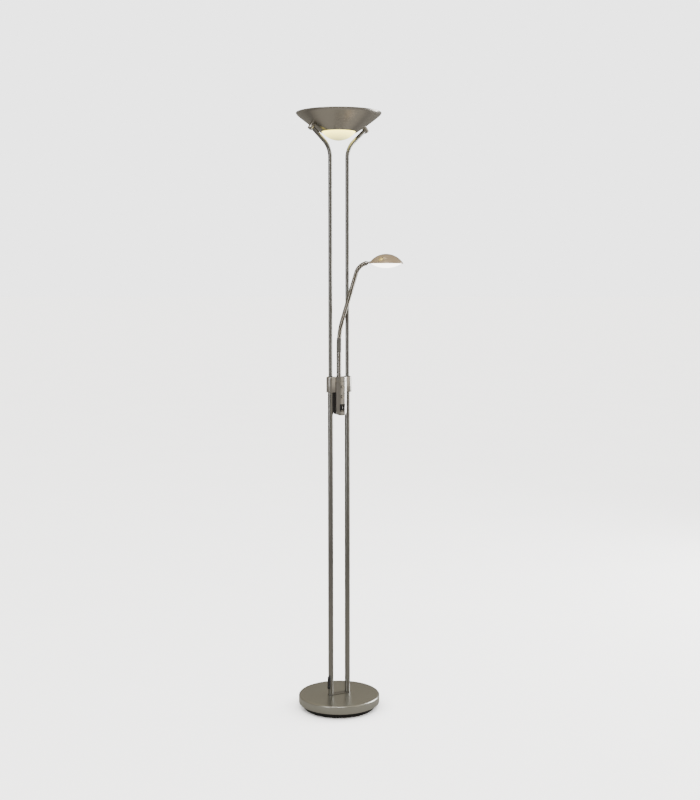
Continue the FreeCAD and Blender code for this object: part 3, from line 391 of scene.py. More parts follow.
# %% [markdown]
# The hose is wound from bright steel strands. The faces that lie in its grooves get painted shade: a much
# darker colour that stands for the shade between the strands. Screws and plates are zinc plated, heat sinks
# are bare aluminium.

# %% Hose, screws, heat sinks and brass
HOSE_TONE = (0.5667, 0.5314, 0.4730)
# Painted shade: the grooves' dark colour stands for the shade that falls between the strands.
GROOVE_SHADE_TONE = (0.110, 0.100, 0.085)
EVEN = (1, 1, 1)
hose_steel = brushed("wound steel of the hose", HOSE_TONE, (0.24, 0.36), grain=EVEN, lines=260, height=0.01)
hose_groove_shade = brushed("painted shade in the grooves of the hose", GROOVE_SHADE_TONE, (0.45, 0.6), grain=EVEN, lines=260, height=0.01)
zinc = brushed("zinc plate", (0.58, 0.58, 0.585), (0.30, 0.45), grain=EVEN, lines=400)
alloy = brushed("bare aluminium", (0.66, 0.66, 0.67), (0.35, 0.5), grain=EVEN, lines=300)
brass = brushed("brass", (0.66, 0.50, 0.21), (0.25, 0.4), grain=EVEN, lines=300)
print("five plainer metals")

# %% [markdown]
# Moulded plastic and rubber reflect only a little. Moulds are spark-eroded, which leaves a fine even
# grain, so a small noise gives the bump, and a larger one changes the shade a little. Cast iron is made in
# the same way, with a coarser bump.

# %% Plastics, rubber and iron
def moulded(name, dark, light, rough, grain=1800, height=0.01, mottle=60):
    finish, nodes, links, shader, place = new_finish(name)
    clouds = noise(nodes, links, place, mottle, detail=5)
    links.new(ramp(nodes, links, clouds, (0.3, dark), (0.7, light)), shader.inputs["Base Color"])
    links.new(spread(nodes, links, clouds, *rough), shader.inputs["Roughness"])
    bump(nodes, links, shader, noise(nodes, links, place, grain, detail=2), height)
    return finish


black_plastic = moulded("black moulded plastic", (0.004, 0.004, 0.0045), (0.008, 0.008, 0.0085), (0.38, 0.5))
black_gloss = moulded("black glossy plastic", (0.003, 0.003, 0.0035), (0.006, 0.006, 0.0065), (0.16, 0.24),
                      height=0.003)
black_rubber = moulded("black rubber", (0.005, 0.005, 0.005), (0.010, 0.010, 0.0095), (0.6, 0.75),
                       grain=900, height=0.03)
GUARD_TONE = (0.0741, 0.0710, 0.0643)
grey_rubber = moulded("grey rubber", [0.85 * c for c in GUARD_TONE], [1.15 * c for c in GUARD_TONE],
                      (0.34, 0.44), grain=900, height=0.01)
white_plastic = moulded("white moulded plastic", (0.72, 0.72, 0.69), (0.80, 0.80, 0.77), (0.4, 0.5))
board_green = moulded("green circuit board", (0.02, 0.10, 0.04), (0.04, 0.16, 0.07), (0.3, 0.42), mottle=220)
board_white = moulded("white circuit board", (0.70, 0.70, 0.68), (0.80, 0.80, 0.78), (0.35, 0.45), mottle=220)
chip_yellow = moulded("yellow light chips", (0.75, 0.55, 0.08), (0.86, 0.68, 0.15), (0.25, 0.35), mottle=700)
cast_iron = moulded("cast iron", (0.035, 0.035, 0.036), (0.07, 0.068, 0.066), (0.65, 0.85),
                    grain=500, height=0.15)
cast_iron.node_tree.nodes["Principled BSDF"].inputs["Metallic"].default_value = 1.0
print("nine moulded and cast finishes")

# %% [markdown]
# Opal glass glows when it is lit: bright and warm near the bowl, darker and paler towards its lowest point,
# which lies furthest from the lamps inside. A ramp over the height colours the glow. The surface stays
# glossy, and fine clouds keep it from looking like paint.

# %% Lit glass and lit plastic
def lit(name, body_dark, body_light, low, high, glow, strength, rough):
    """A glowing material: glow is a list of stops between the heights low and high, in millimetres."""
    finish, nodes, links, shader, place = new_finish(name)
    clouds = noise(nodes, links, place, 30, detail=3)
    links.new(ramp(nodes, links, clouds, (0.3, body_dark), (0.7, body_light)), shader.inputs["Base Color"])
    links.new(spread(nodes, links, clouds, *rough), shader.inputs["Roughness"])
    parts = nodes.new("ShaderNodeSeparateXYZ")
    links.new(place, parts.inputs[0])
    height = nodes.new("ShaderNodeMapRange")
    height.inputs["From Min"].default_value = low * MM
    height.inputs["From Max"].default_value = high * MM
    links.new(parts.outputs[2], height.inputs["Value"])
    links.new(ramp(nodes, links, height.outputs["Result"], *glow), shader.inputs["Emission Color"])
    shader.inputs["Emission Strength"].default_value = strength
    bump(nodes, links, shader, clouds, 0.01)
    return finish


GLASS_TOP = (1.0000, 0.8544, 0.1886)
GLASS_LOW = (0.2024, 0.1863, 0.0770)
opal_glass = lit("lit opal glass", (0.50, 0.48, 0.42), (0.56, 0.54, 0.47), 1719, 1744,
                 [(0.0, GLASS_LOW), (1.0, GLASS_TOP)], 6.0, (0.12, 0.2))
opal_plastic = lit("lit opal diffuser", (0.80, 0.79, 0.76), (0.86, 0.85, 0.82), 1343, 1358,
                   [(0.0, (1.0, 0.97, 0.90)), (1.0, (1.0, 0.98, 0.93))], 6.0, (0.3, 0.4))
opal_cap = lit("lit cap of the uplight", (0.80, 0.79, 0.75), (0.86, 0.85, 0.81), 1772, 1779,
               [(0.0, (1.0, 0.94, 0.80)), (1.0, (1.0, 0.96, 0.86))], 2.2, (0.35, 0.45))
print("three lit finishes")

# %% [markdown]
# ## The base
# A heavy iron disc under a spun steel cover. The cover is one outline: flat top, a rounding of 4.5 mm, a
# straight side, and a lip turned in below. Spinning it in 160 steps keeps its outline round where the
# floor and the tubes mirror in it.

# %% Base cover
pen = Pen("cover_of_base", 0, 41)
pen.line((60, 41), (119.5, 41)).arc(119.5, 36.5, -90, 8).line((124, 17)).arc(123, 17, -90, 3)
pen.line((118, 16), (118, 17.2), (122.8, 17.2), (122.8, 36.6)).arc(119.4, 36.4, 90, 5).line((0, 39.8))
cover = smooth(pen.turned(160), 30)
fitted(cover, base_nickel, "satin_nickel", "lamp", "base_cover")

# %% [markdown]
# Under it, set back in its shade, are the black plastic tray and a rubber pad. Only their edges show.

# %% Plinth and pad
pen = Pen("plinth_tray", 0, 2.2)
pen.line((109.5, 2.2)).arc(109.5, 3.7, 90, 4).line((111, 17.1), (108, 17.1), (108, 4.6), (0, 4.6))
tray = smooth(pen.turned(128), 30)
fitted(tray, black_plastic, "black_plastic", "lamp", "plinth")
pen = Pen("pad_on_floor", 0, 0)
pen.line((105.2, 0)).arc(105.2, 0.8, 90, 3).line((106, 2.2), (0, 2.2))
fitted(smooth(pen.turned(96), 30), black_rubber, "black_rubber", "lamp", "floor_pad")

# %% [markdown]
# Both tubes stand on one small plate with round ends. It starts as a cylinder: the points of its right
# half go right, those of its left half go left, and the long sides appear between them.

# %% Foot plate and its gasket
def obround(name, radius, low, high, vertices=64):
    """A plate round both tubes' axes."""
    nothing_selected()
    bpy.ops.mesh.primitive_cylinder_add(
        vertices=vertices, radius=radius * MM, depth=(high - low) * MM,
        location=(0, 0, (low + high) / 2 * MM), rotation=(0, 0, math.pi / vertices))
    plate = bpy.context.object
    plate.name = plate.data.name = name
    bpy.ops.object.transform_apply(location=True, rotation=True, scale=True)
    for side in (-1, 1):
        pick(plate, lambda p: p.x * side > 0)
        bpy.ops.transform.translate(value=(side * TUBE_AXIS * MM, 0, 0))
    bpy.ops.object.mode_set(mode="OBJECT")
    return plate


plate = smooth(eased(obround("foot_plate_of_tubes", 9.5, 41.5, 43), 0.45, 3), 30)
fitted(plate, tube_nickel, "satin_nickel", "lamp", "foot_plate")
gasket = smooth(eased(obround("gasket_under_plate", 9.8, 41, 41.5), 0.1, 1), 30)
fitted(gasket, black_rubber, "black_rubber", "lamp", "foot_gasket")

# %% [markdown]
# ## The tubes
# The lower tubes are plain, 16 mm across. The right one is drawn as a thin wall, spun at the origin and
# moved to its axis. A mirrored copy makes the left one.

# %% Lower tubes
pen = Pen("tube_low_right", 7, 43)
pen.line((7.7, 43), (8, 43.3), (8, 300), (8, 600), (8, 900), (8, 1000), (7, 1000), (7, 43))
low_right = shifted(smooth(pen.turned(48), 30), TUBE_AXIS, 0, 0)
low_left = mirrored(low_right, "tube_low_left")
fitted(low_right, tube_nickel, "satin_nickel", "lamp", "lower_tube_right")
fitted(low_left, tube_nickel, "satin_nickel", "lamp", "lower_tube_left")

# %% [markdown]
# The upper tubes are 12 mm across and bend outwards by 47 degrees under the bowl. A ring is extruded up,
# spun round the bend's centre, which lies 66 mm to the side, and extruded on to the pin.

# %% Upper tubes
TUBE_START = 990
HALFWAY = 1330
BEND_START = 1669.253
BEND_RADIUS = 66
TO_PIN = Vector((40.0, 0, 37.3))


def bent_tube(name, radius):
    nothing_selected()
    foot = Vector((TUBE_AXIS, 0, TUBE_START))
    bpy.ops.mesh.primitive_circle_add(vertices=40, radius=radius * MM, location=foot * MM)
    tube = bpy.context.object
    tube.name = tube.data.name = name
    bpy.ops.object.transform_apply(location=True)
    bpy.ops.object.mode_set(mode="EDIT")
    bpy.ops.mesh.select_all(action="SELECT")
    for height in (HALFWAY - TUBE_START, BEND_START - HALFWAY):
        bpy.ops.mesh.extrude_region_move(TRANSFORM_OT_translate={"value": (0, 0, height * MM)})
    centre = ((TUBE_AXIS + BEND_RADIUS) * MM, 0, BEND_START * MM)
    bpy.ops.mesh.spin(steps=20, angle=-math.radians(47), center=centre, axis=(0, 1, 0))
    bpy.ops.mesh.extrude_region_move(TRANSFORM_OT_translate={"value": TO_PIN * MM})
    bpy.ops.object.mode_set(mode="OBJECT")
    pick(tube, lambda p: p.z < TUBE_START + 0.01 or p.x > 88, "EDGE")
    bpy.ops.mesh.edge_face_add()
    bpy.ops.mesh.select_all(action="SELECT")
    bpy.ops.mesh.normals_make_consistent(inside=False)
    bpy.ops.object.mode_set(mode="OBJECT")
    return tube


high_right = smooth(bent_tube("tube_high_right", 6), 30)
high_left = mirrored(high_right, "tube_high_left")
fitted(high_right, tube_nickel, "satin_nickel", "lamp", "upper_tube_right")
fitted(high_left, tube_nickel, "satin_nickel", "lamp", "upper_tube_left")

# %% [markdown]
# Where an upper tube leaves the box, a thin black bush closes the gap round it.

# %% Bushes on the box
pen = Pen("bush_right", 6.05, 1017)
pen.line((7.6, 1017), (7.6, 1019), (8.6, 1019)).arc(8.6, 1019.4, 90, 3)
pen.line((9.0, 1019.9)).arc(8.5, 1019.9, 90, 3)
pen.line((7.7, 1020.4), (7.4, 1021), (6.05, 1021), (6.05, 1017))
bush_right = shifted(smooth(pen.turned(48), 30), TUBE_AXIS, 0, 0)
bush_left = mirrored(bush_right, "bush_left")
fitted(bush_right, black_plastic, "black_plastic", "lamp", "tube_collars")
fitted(bush_left, black_plastic, "black_plastic", "lamp", "tube_collars")

# %% [markdown]
# A slim black moulding sits low on the left tube, with a pointed top and a collar near its foot. It is
# one outline, spun and moved beside the tube, into which its back sinks a little.

# %% Clip on the left tube
pen = Pen("clip_on_tube", 0, 62)
pen.line((3.9, 62)).arc(3.9, 62.7, 90, 3)
pen.line((4.6, 64.6), (5.0, 65.0), (5.2, 65.6), (5.2, 69.4), (5.0, 70.0))
pen.line((4.6, 70.4), (4.6, 97.0), (4.3, 98.6), (1.5, 103.2)).arc(0.9, 102.9, 60, 3).line((0, 104))
clip = smooth(pen.turned(40), 28)
CLIP_AWAY = 11.4
direction = math.radians(213)
clip = shifted(clip, -TUBE_AXIS + CLIP_AWAY * math.cos(direction), CLIP_AWAY * math.sin(direction), 0)
fitted(clip, black_plastic, "black_plastic", "lamp", "tube_clip")

# %% [markdown]
# ## The control box
# A band clasps both tubes, and a tongue hangs from it with the knobs and the switch. The band is the same
# round-ended plate as the foot, only taller. Its top edge is rounded widely, its lower edge hardly.

# %% Band round the tubes
band = obround("band_of_box", 12.5, 973, 1019, 96)
pick(band, lambda p: p.z > 1018.9, "EDGE")
bpy.ops.mesh.bevel(offset=2.5 * MM, segments=5, affect="EDGES")
bpy.ops.object.mode_set(mode="OBJECT")
pick(band, lambda p: p.z < 973.1, "EDGE")
bpy.ops.mesh.bevel(offset=0.5 * MM, segments=2, affect="EDGES")
bpy.ops.object.mode_set(mode="OBJECT")
print("band is", round(band.dimensions.x / MM, 1), "mm wide")

# %% [markdown]
# The tongue's front swells forward by 5 mm, as part of a cylinder of 31.4 mm radius. By hand: a flat grid
# is laid in front view, its lower corners are rounded by moving the ends of its columns, and each column
# is pushed back on to the cylinder. Then its border is extruded to the back and flattened there. The
# cornice above it stands 0.8 mm forward, over a narrow groove.

# %% Tongue and cornice
CROWN = 31.4
HALF_TONGUE = 17
CORNER = 10
COLUMNS = 34


def swell(x):
    """How far the crowned front lies behind its middle, at a distance from the middle."""
    return CROWN - math.sqrt(CROWN ** 2 - x ** 2)


def lower_edge(x):
    """The height of the tongue's rounded lower edge."""
    into_corner = max(0.0, abs(x) - (HALF_TONGUE - CORNER))
    rounding = CORNER - math.sqrt(max(0.0, CORNER ** 2 - into_corner ** 2))
    return 903.5 + 1.5 * (x / HALF_TONGUE) ** 2 + rounding


def crowned(name, front, low, high, back, rows=8):
    """A box with a crowned front. low is a function of x."""
    nothing_selected()
    bpy.ops.mesh.primitive_grid_add(x_subdivisions=COLUMNS, y_subdivisions=rows, size=2)
    box = bpy.context.object
    box.name = box.data.name = name
    for point in box.data.vertices:
        x = HALF_TONGUE * math.sin(point.co.x * math.pi / 2)
        share = (point.co.y + 1) / 2
        point.co = Vector((x, swell(x) - front, low(x) + (high - low(x)) * share)) * MM
    bpy.ops.object.mode_set(mode="EDIT")
    bpy.ops.mesh.select_all(action="SELECT")
    bpy.ops.mesh.extrude_region_move(TRANSFORM_OT_translate={"value": (0, 30 * MM, 0)})
    bpy.ops.transform.resize(value=(1, 0, 1))
    bpy.ops.object.mode_set(mode="OBJECT")
    middle = max(p.co.y for p in box.data.vertices)
    bpy.ops.object.mode_set(mode="EDIT")
    bpy.ops.transform.translate(value=(0, back * MM - middle, 0))
    bpy.ops.mesh.select_all(action="SELECT")
    bpy.ops.mesh.remove_doubles(threshold=0.002 * MM)
    bpy.ops.mesh.normals_make_consistent(inside=False)
    bpy.ops.object.mode_set(mode="OBJECT")
    return box


tongue = eased(crowned("tongue", 21.5, lower_edge, 1005.6, -11.3), 1.6, 4, 50)
cornice = eased(crowned("cornice", 20.7, lambda x: 1006.8, 1019, 0), 2.4, 4, 50)
shell = smooth(joined(band, tongue, cornice), 32)
shell.name = shell.data.name = "shell_of_box"
fitted(shell, box_nickel, "satin_nickel", "lamp", "box_shell")

# %% [markdown]
# Behind the tongue a black cover closes the box. It is the same outline drawn 1 mm narrower on each side,
# and its crown is flattened. Its two screws sit in round recesses, cut with a Boolean.

# %% Black back cover
def drilled(piece, radius, x, z, front, back):
    """Cuts a round hole along Y with a Boolean."""
    nothing_selected()
    bpy.ops.mesh.primitive_cylinder_add(
        vertices=32, radius=radius * MM, depth=(back - front) * MM,
        location=(x * MM, (front + back) / 2 * MM, z * MM), rotation=(math.pi / 2, 0, 0))
    drill = bpy.context.object
    bpy.ops.object.transform_apply(location=True, rotation=True, scale=True)
    applied(piece, "BOOLEAN", operation="DIFFERENCE", object=drill, solver="EXACT")
    bpy.data.objects.remove(drill)


back = crowned("back_of_box", -10.8, lambda x: lower_edge(x) + 1, 972.8, -11.4, rows=4)
pick(back, lambda p: True)
bpy.ops.transform.resize(value=((HALF_TONGUE - 1) / HALF_TONGUE, 1, 1), center_override=(0, 0, 0))
bpy.ops.object.mode_set(mode="OBJECT")
for point in back.data.vertices:
    if point.co.y > 0:
        point.co.y = 11 * MM
back = eased(back, 1.0, 3, 50)
for height in (910.6, 944.2):
    drilled(back, 3.1, 0, height, 8.8, 14)
fitted(smooth(back, 32), black_plastic, "black_plastic", "lamp", "box_back")

# %% [markdown]
# Two small metal knobs dim the lights. Each is a cylinder lying on its side: the front edge is bevelled,
# the face is inset and dished, and every third strip of the rim is sunk to make the flutes.

# %% Knobs
def knob(name, height, body, node):
    nothing_selected()
    bpy.ops.mesh.primitive_cylinder_add(
        vertices=48, radius=5 * MM, depth=6 * MM, location=(0, -25.1 * MM, height * MM),
        rotation=(math.pi / 2, 0, 0))
    piece = bpy.context.object
    piece.name = piece.data.name = name
    bpy.ops.object.transform_apply(location=True, rotation=True, scale=True)
    pick(piece, lambda p: p.y < -28, "EDGE")
    bpy.ops.mesh.bevel(offset=0.7 * MM, segments=3, affect="EDGES")
    bpy.ops.object.mode_set(mode="OBJECT")
    pick(piece, lambda p: p.y < -28.09, "FACE")
    bpy.ops.mesh.inset(thickness=0.9 * MM, depth=-0.15 * MM)
    bpy.ops.mesh.inset(thickness=1.6 * MM, depth=-0.25 * MM)
    bpy.ops.object.mode_set(mode="OBJECT")

    def every_third(p):
        turn = math.degrees(math.atan2(p.z - height, p.x)) % 360
        return -27.3 < p.y < -22 and abs((turn / 7.5) % 3 - 1.5) < 0.3

    mesh = piece.data
    for face in mesh.polygons:
        centre = face.center / MM
        face.select = abs(face.normal.y) < 0.1 and every_third(centre)
    bpy.ops.object.mode_set(mode="EDIT")
    bpy.ops.mesh.select_mode(type="FACE")
    bpy.ops.object.mode_set(mode="OBJECT")
    bpy.ops.object.mode_set(mode="EDIT")
    bpy.ops.mesh.inset(thickness=0.08 * MM, depth=-0.3 * MM, use_individual=True)
    bpy.ops.object.mode_set(mode="OBJECT")
    fitted(smooth(piece, 30), knob_nickel, "satin_nickel", body, node)


knob_nickel = brushed("nickel on the knobs", (0.46, 0.44, 0.41), (0.20, 0.32), grain=(1, 1, 1), lines=500,
                      height=0.003)
knob("knob_high", 990, "upper_dimmer_knob", "upper_knob")
knob("knob_low", 960.5, "lower_dimmer_knob", "lower_knob")

# %% [markdown]
# The switch is a black frame with a glossy rocker in it. The frame is a cube whose front is inset and
# pushed in. The rocker's middle edge is drawn back, so that its face is a shallow V, and it is tilted by 9
# degrees. A pale printed bar marks it.

# %% Switch frame
SWITCH_HEIGHT = 926.7


def cube(name, x0, x1, y0, y1, z0, z1):
    nothing_selected()
    bpy.ops.mesh.primitive_cube_add(size=1)
    piece = bpy.context.object
    piece.name = piece.data.name = name
    low, high = Vector((x0, y0, z0)), Vector((x1, y1, z1))
    piece.location = (low + high) / 2 * MM
    piece.scale = (high - low) * MM
    bpy.ops.object.transform_apply(location=True, rotation=True, scale=True)
    return piece


bezel = cube("frame_of_switch", -7.75, 7.75, -22.7, -19.6, 915.7, 937.7)
pick(bezel, lambda p: p.y < -22.6, "FACE")
bpy.ops.mesh.inset(thickness=2.4 * MM)
bpy.ops.mesh.extrude_region_move(TRANSFORM_OT_translate={"value": (0, 9 * MM, 0)})
bpy.ops.object.mode_set(mode="OBJECT")
fitted(smooth(eased(bezel, 0.45, 3), 30), black_plastic, "black_plastic", "lamp", "rocker_frame")

# %% Rocker and its mark
rocker = cube("rocker_of_switch", -4.9, 4.9, -24.3, -18.5, 919.1, 934.3)
pick(rocker, lambda p: True)
bpy.ops.mesh.subdivide(number_cuts=1)
bpy.ops.object.mode_set(mode="OBJECT")
pick(rocker, lambda p: p.y < -24 and abs(p.z - SWITCH_HEIGHT) < 0.1)
bpy.ops.transform.translate(value=(0, 1.4 * MM, 0))
bpy.ops.object.mode_set(mode="OBJECT")
rocker = eased(rocker, 0.35, 2, 60)
mark = eased(cube("mark", -0.6, 0.6, -23.55, -23.0, 923.3, 930.1), 0.1, 1)
axle = Vector((0, -19.5, SWITCH_HEIGHT))
tilt = Matrix.Translation(axle) @ Matrix.Rotation(math.radians(-9), 4, "X") @ Matrix.Translation(-axle)
rocker, mark = placed(rocker, tilt), placed(mark, tilt)
mark.name = mark.data.name = "mark_on_rocker"
pale_print = moulded("white print", (0.24, 0.24, 0.235), (0.29, 0.29, 0.285), (0.4, 0.5))
fitted(smooth(rocker, 30), black_gloss, "black_gloss", "rocker", "rocker_button")
fitted(mark, pale_print, "white_plastic", "rocker")

# %% [markdown]
# ## The reading arm
# A polished sleeve stands on the box and holds the hose. It is turned, with a rounded lip at its top, and
# it mirrors its surroundings in long stripes.

# %% Sleeve on the box
pen = Pen("sleeve_of_arm", 0, 1018.5)
pen.line((7.0, 1018.5), (7.2, 1020), (7.2, 1055), (7.2, 1092.3)).arc(6.2, 1092.3, 90, 4)
pen.line((5.9, 1093.3), (5.9, 1085), (0, 1085))
sleeve = smooth(pen.turned(48), 30)
SLEEVE_TONE = (0.3367, 0.3233, 0.3100)
polished = brushed("polished nickel on the sleeve", SLEEVE_TONE, (0.16, 0.24), height=0.0003)
fitted(sleeve, polished, "satin_nickel", "lamp", "arm_sleeve")

# %% [markdown]
# The hose follows one line: straight up, a wide arc, a straight run and a tight arc. A Bezier curve with
# a handle length of 4/3 of the tangent of a quarter of the angle, times the radius, is an arc for the
# eye. All of it lies in an upright plane that points 45 degrees to the right of the box.

# %% The hose's line
ACROSS = Vector((math.sqrt(0.5), -math.sqrt(0.5), 0))
SLEEVE_TOP = 1093.3
LOW_STRAIGHT, HIGH_STRAIGHT = 20.7, 146.2
LOW_TURN, HIGH_TURN = math.radians(17), math.radians(58.5)
LOW_RADIUS, HIGH_RADIUS = 260, 41
RUNS = ((LOW_STRAIGHT, None), (LOW_RADIUS * LOW_TURN, LOW_RADIUS),
        (HIGH_STRAIGHT, None), (HIGH_RADIUS * HIGH_TURN, HIGH_RADIUS))
HOSE_LENGTH = sum(length for length, radius in RUNS)


def along_hose(s):
    """The place on the hose's middle line and its direction, at a length from the sleeve's top."""
    reach, z, lean = 0.0, SLEEVE_TOP, 0.0
    for length, radius in RUNS:
        part = min(s, length)
        if radius is None:
            reach += part * math.sin(lean)
            z += part * math.cos(lean)
        else:
            end = lean + part / radius
            reach += radius * (math.cos(lean) - math.cos(end))
            z += radius * (math.sin(end) - math.sin(lean))
            lean = end
        s -= part
    way = ACROSS * math.sin(lean) + Vector((0, 0, math.cos(lean)))
    return ACROSS * reach + Vector((0, 0, z)), way


hose_end, end_way = along_hose(HOSE_LENGTH)
print("the hose is", round(HOSE_LENGTH, 1), "mm long and ends at", [round(c) for c in hose_end])

# %% Curve along the hose
stops, reaches = [0], []
for length, radius in RUNS:
    stops.append(stops[-1] + length)
    reaches.append(4 / 3 * math.tan(length / radius / 4) * radius if radius else length / 3)
line_data = bpy.data.curves.new("hose_line", "CURVE")
line_data.dimensions = "3D"
line_data.twist_mode = "MINIMUM"
line_data.resolution_u = 64
spline = line_data.splines.new("BEZIER")
spline.bezier_points.add(len(stops) - 1)
for i, (stop, point) in enumerate(zip(stops, spline.bezier_points)):
    place, way = along_hose(stop)
    point.co = place * MM
    point.handle_left = (place - way * (reaches[i - 1] if i else 5)) * MM
    point.handle_right = (place + way * (reaches[i] if i < 4 else 5)) * MM
hose_line = bpy.data.objects.new("hose_line", line_data)
bpy.context.scene.collection.objects.link(hose_line)
print("curve with", len(spline.bezier_points), "points")

# %% [markdown]
# The hose is wound from six strands that climb steeply, so it shows slanting light and dark stripes: the
# strands' own roundness shades them, and painted shade in the grooves darkens them further. A ring of 48
# points is pinched in six places, a Screw modifier carries it up while turning it, and a Curve modifier lays
# it along the line. Faces that lie nearer to the middle are the grooves, and they get the painted shade.

# %% Winding the hose
LAY = 66.0
GROOVE_REACH = 6.1
nothing_selected()
bpy.ops.mesh.primitive_circle_add(vertices=48, radius=6.4 * MM)
hose = bpy.context.object
hose.name = hose.data.name = "hose"
pinch = [0.85, 0.93, 0.98, 1.0, 1.0, 1.0, 0.98, 0.93]
for i, point in enumerate(hose.data.vertices):
    point.co *= pinch[i % len(pinch)]
applied(hose, "SCREW", axis="Z", angle=-2 * math.pi * HOSE_LENGTH / LAY, screw_offset=HOSE_LENGTH * MM,
        steps=190, render_steps=190, iterations=1, use_smooth_shade=True)
# The second finish is the painted shade of the grooves.
hose.data.materials.append(hose_steel)
hose.data.materials.append(hose_groove_shade)
pick(hose, lambda p: math.hypot(p.x, p.y) < GROOVE_REACH, "FACE")
hose.active_material_index = 1
bpy.ops.object.material_slot_assign()
bpy.ops.object.mode_set(mode="OBJECT")
print("faces in the grooves:", sum(f.material_index for f in hose.data.polygons))
applied(hose, "CURVE", object=hose_line, deform_axis="POS_Z")
print("hose box", [round(c / MM, 1) for c in hose.dimensions], "faces", len(hose.data.polygons))

# %% [markdown]
# Each joint of the arm bends the hose between two stiff lengths. So the hose is cut into five pieces, each
# cut halfway between two joints, where nothing bends. A plane through the line bisects a copy, and the cut is
# filled.

# %% Five pieces of hose
BENDS = (LOW_STRAIGHT, 70.0, 122.0, 182.0, 240.0)
BEND_REACH = 13
CUTS = (0.0, 45.0, 96.0, 152.0, 211.0, HOSE_LENGTH)


def cut_across(piece, s, keep_above):
    place, way = along_hose(s)
    alone(piece)
    bpy.ops.object.mode_set(mode="EDIT")
    bpy.ops.mesh.select_all(action="SELECT")
    bpy.ops.mesh.bisect(plane_co=place * MM, plane_no=way, use_fill=True, clear_inner=keep_above,
                        clear_outer=not keep_above)
    bpy.ops.object.mode_set(mode="OBJECT")


def blended(piece, number):
    """Applies a piece's place to its mesh. The hose's places on either side of the joint are worked out but
    not used.
    """
    bend = BENDS[number]
    along_hose(bend - BEND_REACH)[0] * MM
    along_hose(bend + BEND_REACH)[0] * MM
    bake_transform(piece)


for i, (low, high) in enumerate(zip(CUTS, CUTS[1:])):
    piece = copied(hose, "hose_%d" % (i + 1))
    if i > 0:
        cut_across(piece, low, True)
    if i < 4:
        cut_across(piece, high, False)
    blended(piece, i)
    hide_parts("hose_length_%d" % (i + 1), *(["hose_foot"] if i == 0 else []))
    print(piece.name, "faces:", len(piece.data.polygons))
bpy.data.objects.remove(hose)

# %% [markdown]
# Above the sleeve the hose wears a smooth grey rubber guard, 42 mm long. It is a plain turned tube that
# is laid along the same line.

# %% Rubber guard
pen = Pen("guard_of_hose", 6.5, -2)
pen.line((7.2, 0), (7.2, 3), (7.2, 8), (7.2, 14), (7.15, 20), (7.15, 26), (7.1, 32), (7.0, 38), (6.8, 41.5))
pen.line((6.45, 42), (6.3, 41.8), (6.3, -2), (6.5, -2))
guard = smooth(pen.turned(40), 30)
applied(guard, "CURVE", object=hose_line, deform_axis="POS_Z")
guard.data.materials.append(grey_rubber)
blended(guard, 0)
bpy.data.objects.remove(hose_line)
print("guard faces:", len(guard.data.polygons))

# %% [markdown]
# At its end the hose runs into a small turned cone, and a thin stud goes on from there into the head.

# %% Cone and stud
pen = Pen("cone_of_hose", 0, -1)
pen.line((6.4, -1), (6.9, 0)).arc(6.4, 0.6, 70, 3)
pen.line((3.6, 8.4), (2.75, 9.0), (2.75, 20), (2.75, 27), (0, 27))
cone = smooth(pen.turned(40), 28)
aim = Vector((0, 0, 1)).rotation_difference(end_way).to_matrix().to_4x4()
cone = placed(cone, Matrix.Translation(hose_end) @ aim)
fitted(cone, polished, "satin_nickel", "arm_5", "end_cone")

# %% [markdown]
# ## The reading head
# The head is a spun dome, 101 mm across and 27.5 mm high, part of a sphere of 60.1 mm radius. The wall is
# 1 mm, and its edge is rolled a little. An opal diffuser bulges out below it.

# %% Dome of the head
HEAD = ACROSS * 145.9 + Vector((0, 0, 1357.535))
DOME_RADIUS, DOME_HEIGHT = 60.118, 27.5
dome_centre = DOME_HEIGHT - DOME_RADIUS
dome_lean = math.degrees(math.asin(50.5 / DOME_RADIUS))
pen = Pen("dome_of_head", 0, DOME_HEIGHT)
pen.arc(0, dome_centre, -dome_lean, 26).line((50.9, -0.6)).arc(50.2, -0.6, -180, 5)
pen.line((49.3, 0.6)).arc(0, dome_centre, dome_lean * 0.985, 22).line((0, 26.5))
dome = shifted(smooth(pen.turned(112), 40), *HEAD)
fitted(dome, head_nickel, "satin_nickel", "arm_5", "head_shell")

# %% Diffuser of the head
BULGE, BULGE_HALF = 14, 46.8
radius = (BULGE_HALF ** 2 + BULGE ** 2) / (2 * BULGE)
bulge_lean = math.degrees(math.asin(BULGE_HALF / radius))
pen = Pen("diffuser_of_head", 0, -BULGE)
pen.arc(0, radius - BULGE, bulge_lean, 14).line((48.3, 0), (48.3, 1.0), (44, 1.0))
pen.arc(0, radius - 12.4, -math.degrees(math.asin(44 / (radius - 1.6))), 12)
diffuser = shifted(smooth(pen.turned(96), 40), *HEAD)
fitted(diffuser, opal_plastic, "opal_plastic", "arm_5", "head_diffuser")

# %% [markdown]
# ## The bowl
# The bowl is spun from one disc: a flat ring round the glass, a long even curve, a tighter one up to the
# rim, and a rolled bead. Its outline is closed, up the outside and down the inside, so that it has a real
# wall, and 192 steps keep the mirrored pins clean.

# %% Bowl
LONG_CURVE = (-213.672, 2188.264)
TIGHT_CURVE = (106.514, 1808.195)
pen = Pen("bowl_of_lamp", 50, 1744)
pen.line((55.5, 1744)).arc(*LONG_CURVE, 8.901, 24).arc(*TIGHT_CURVE, 24.343, 10)
pen.arc(125.4, 1798.5, 200, 10).line((125.55, 1797.6)).arc(*TIGHT_CURVE, -22.8, 8)
pen.line((120.2, 1791.9)).arc(*LONG_CURVE, -8.9, 24).line((50, 1745.2), (50, 1744))
bowl = smooth(pen.turned(192), 40)
fitted(bowl, bowl_nickel, "satin_nickel", "lamp", "bowl")

# %% [markdown]
# Two short pins stand square to the bowl and take the tubes' ends. Each is turned at the origin and then
# aimed down and outwards, 35 degrees from straight down.

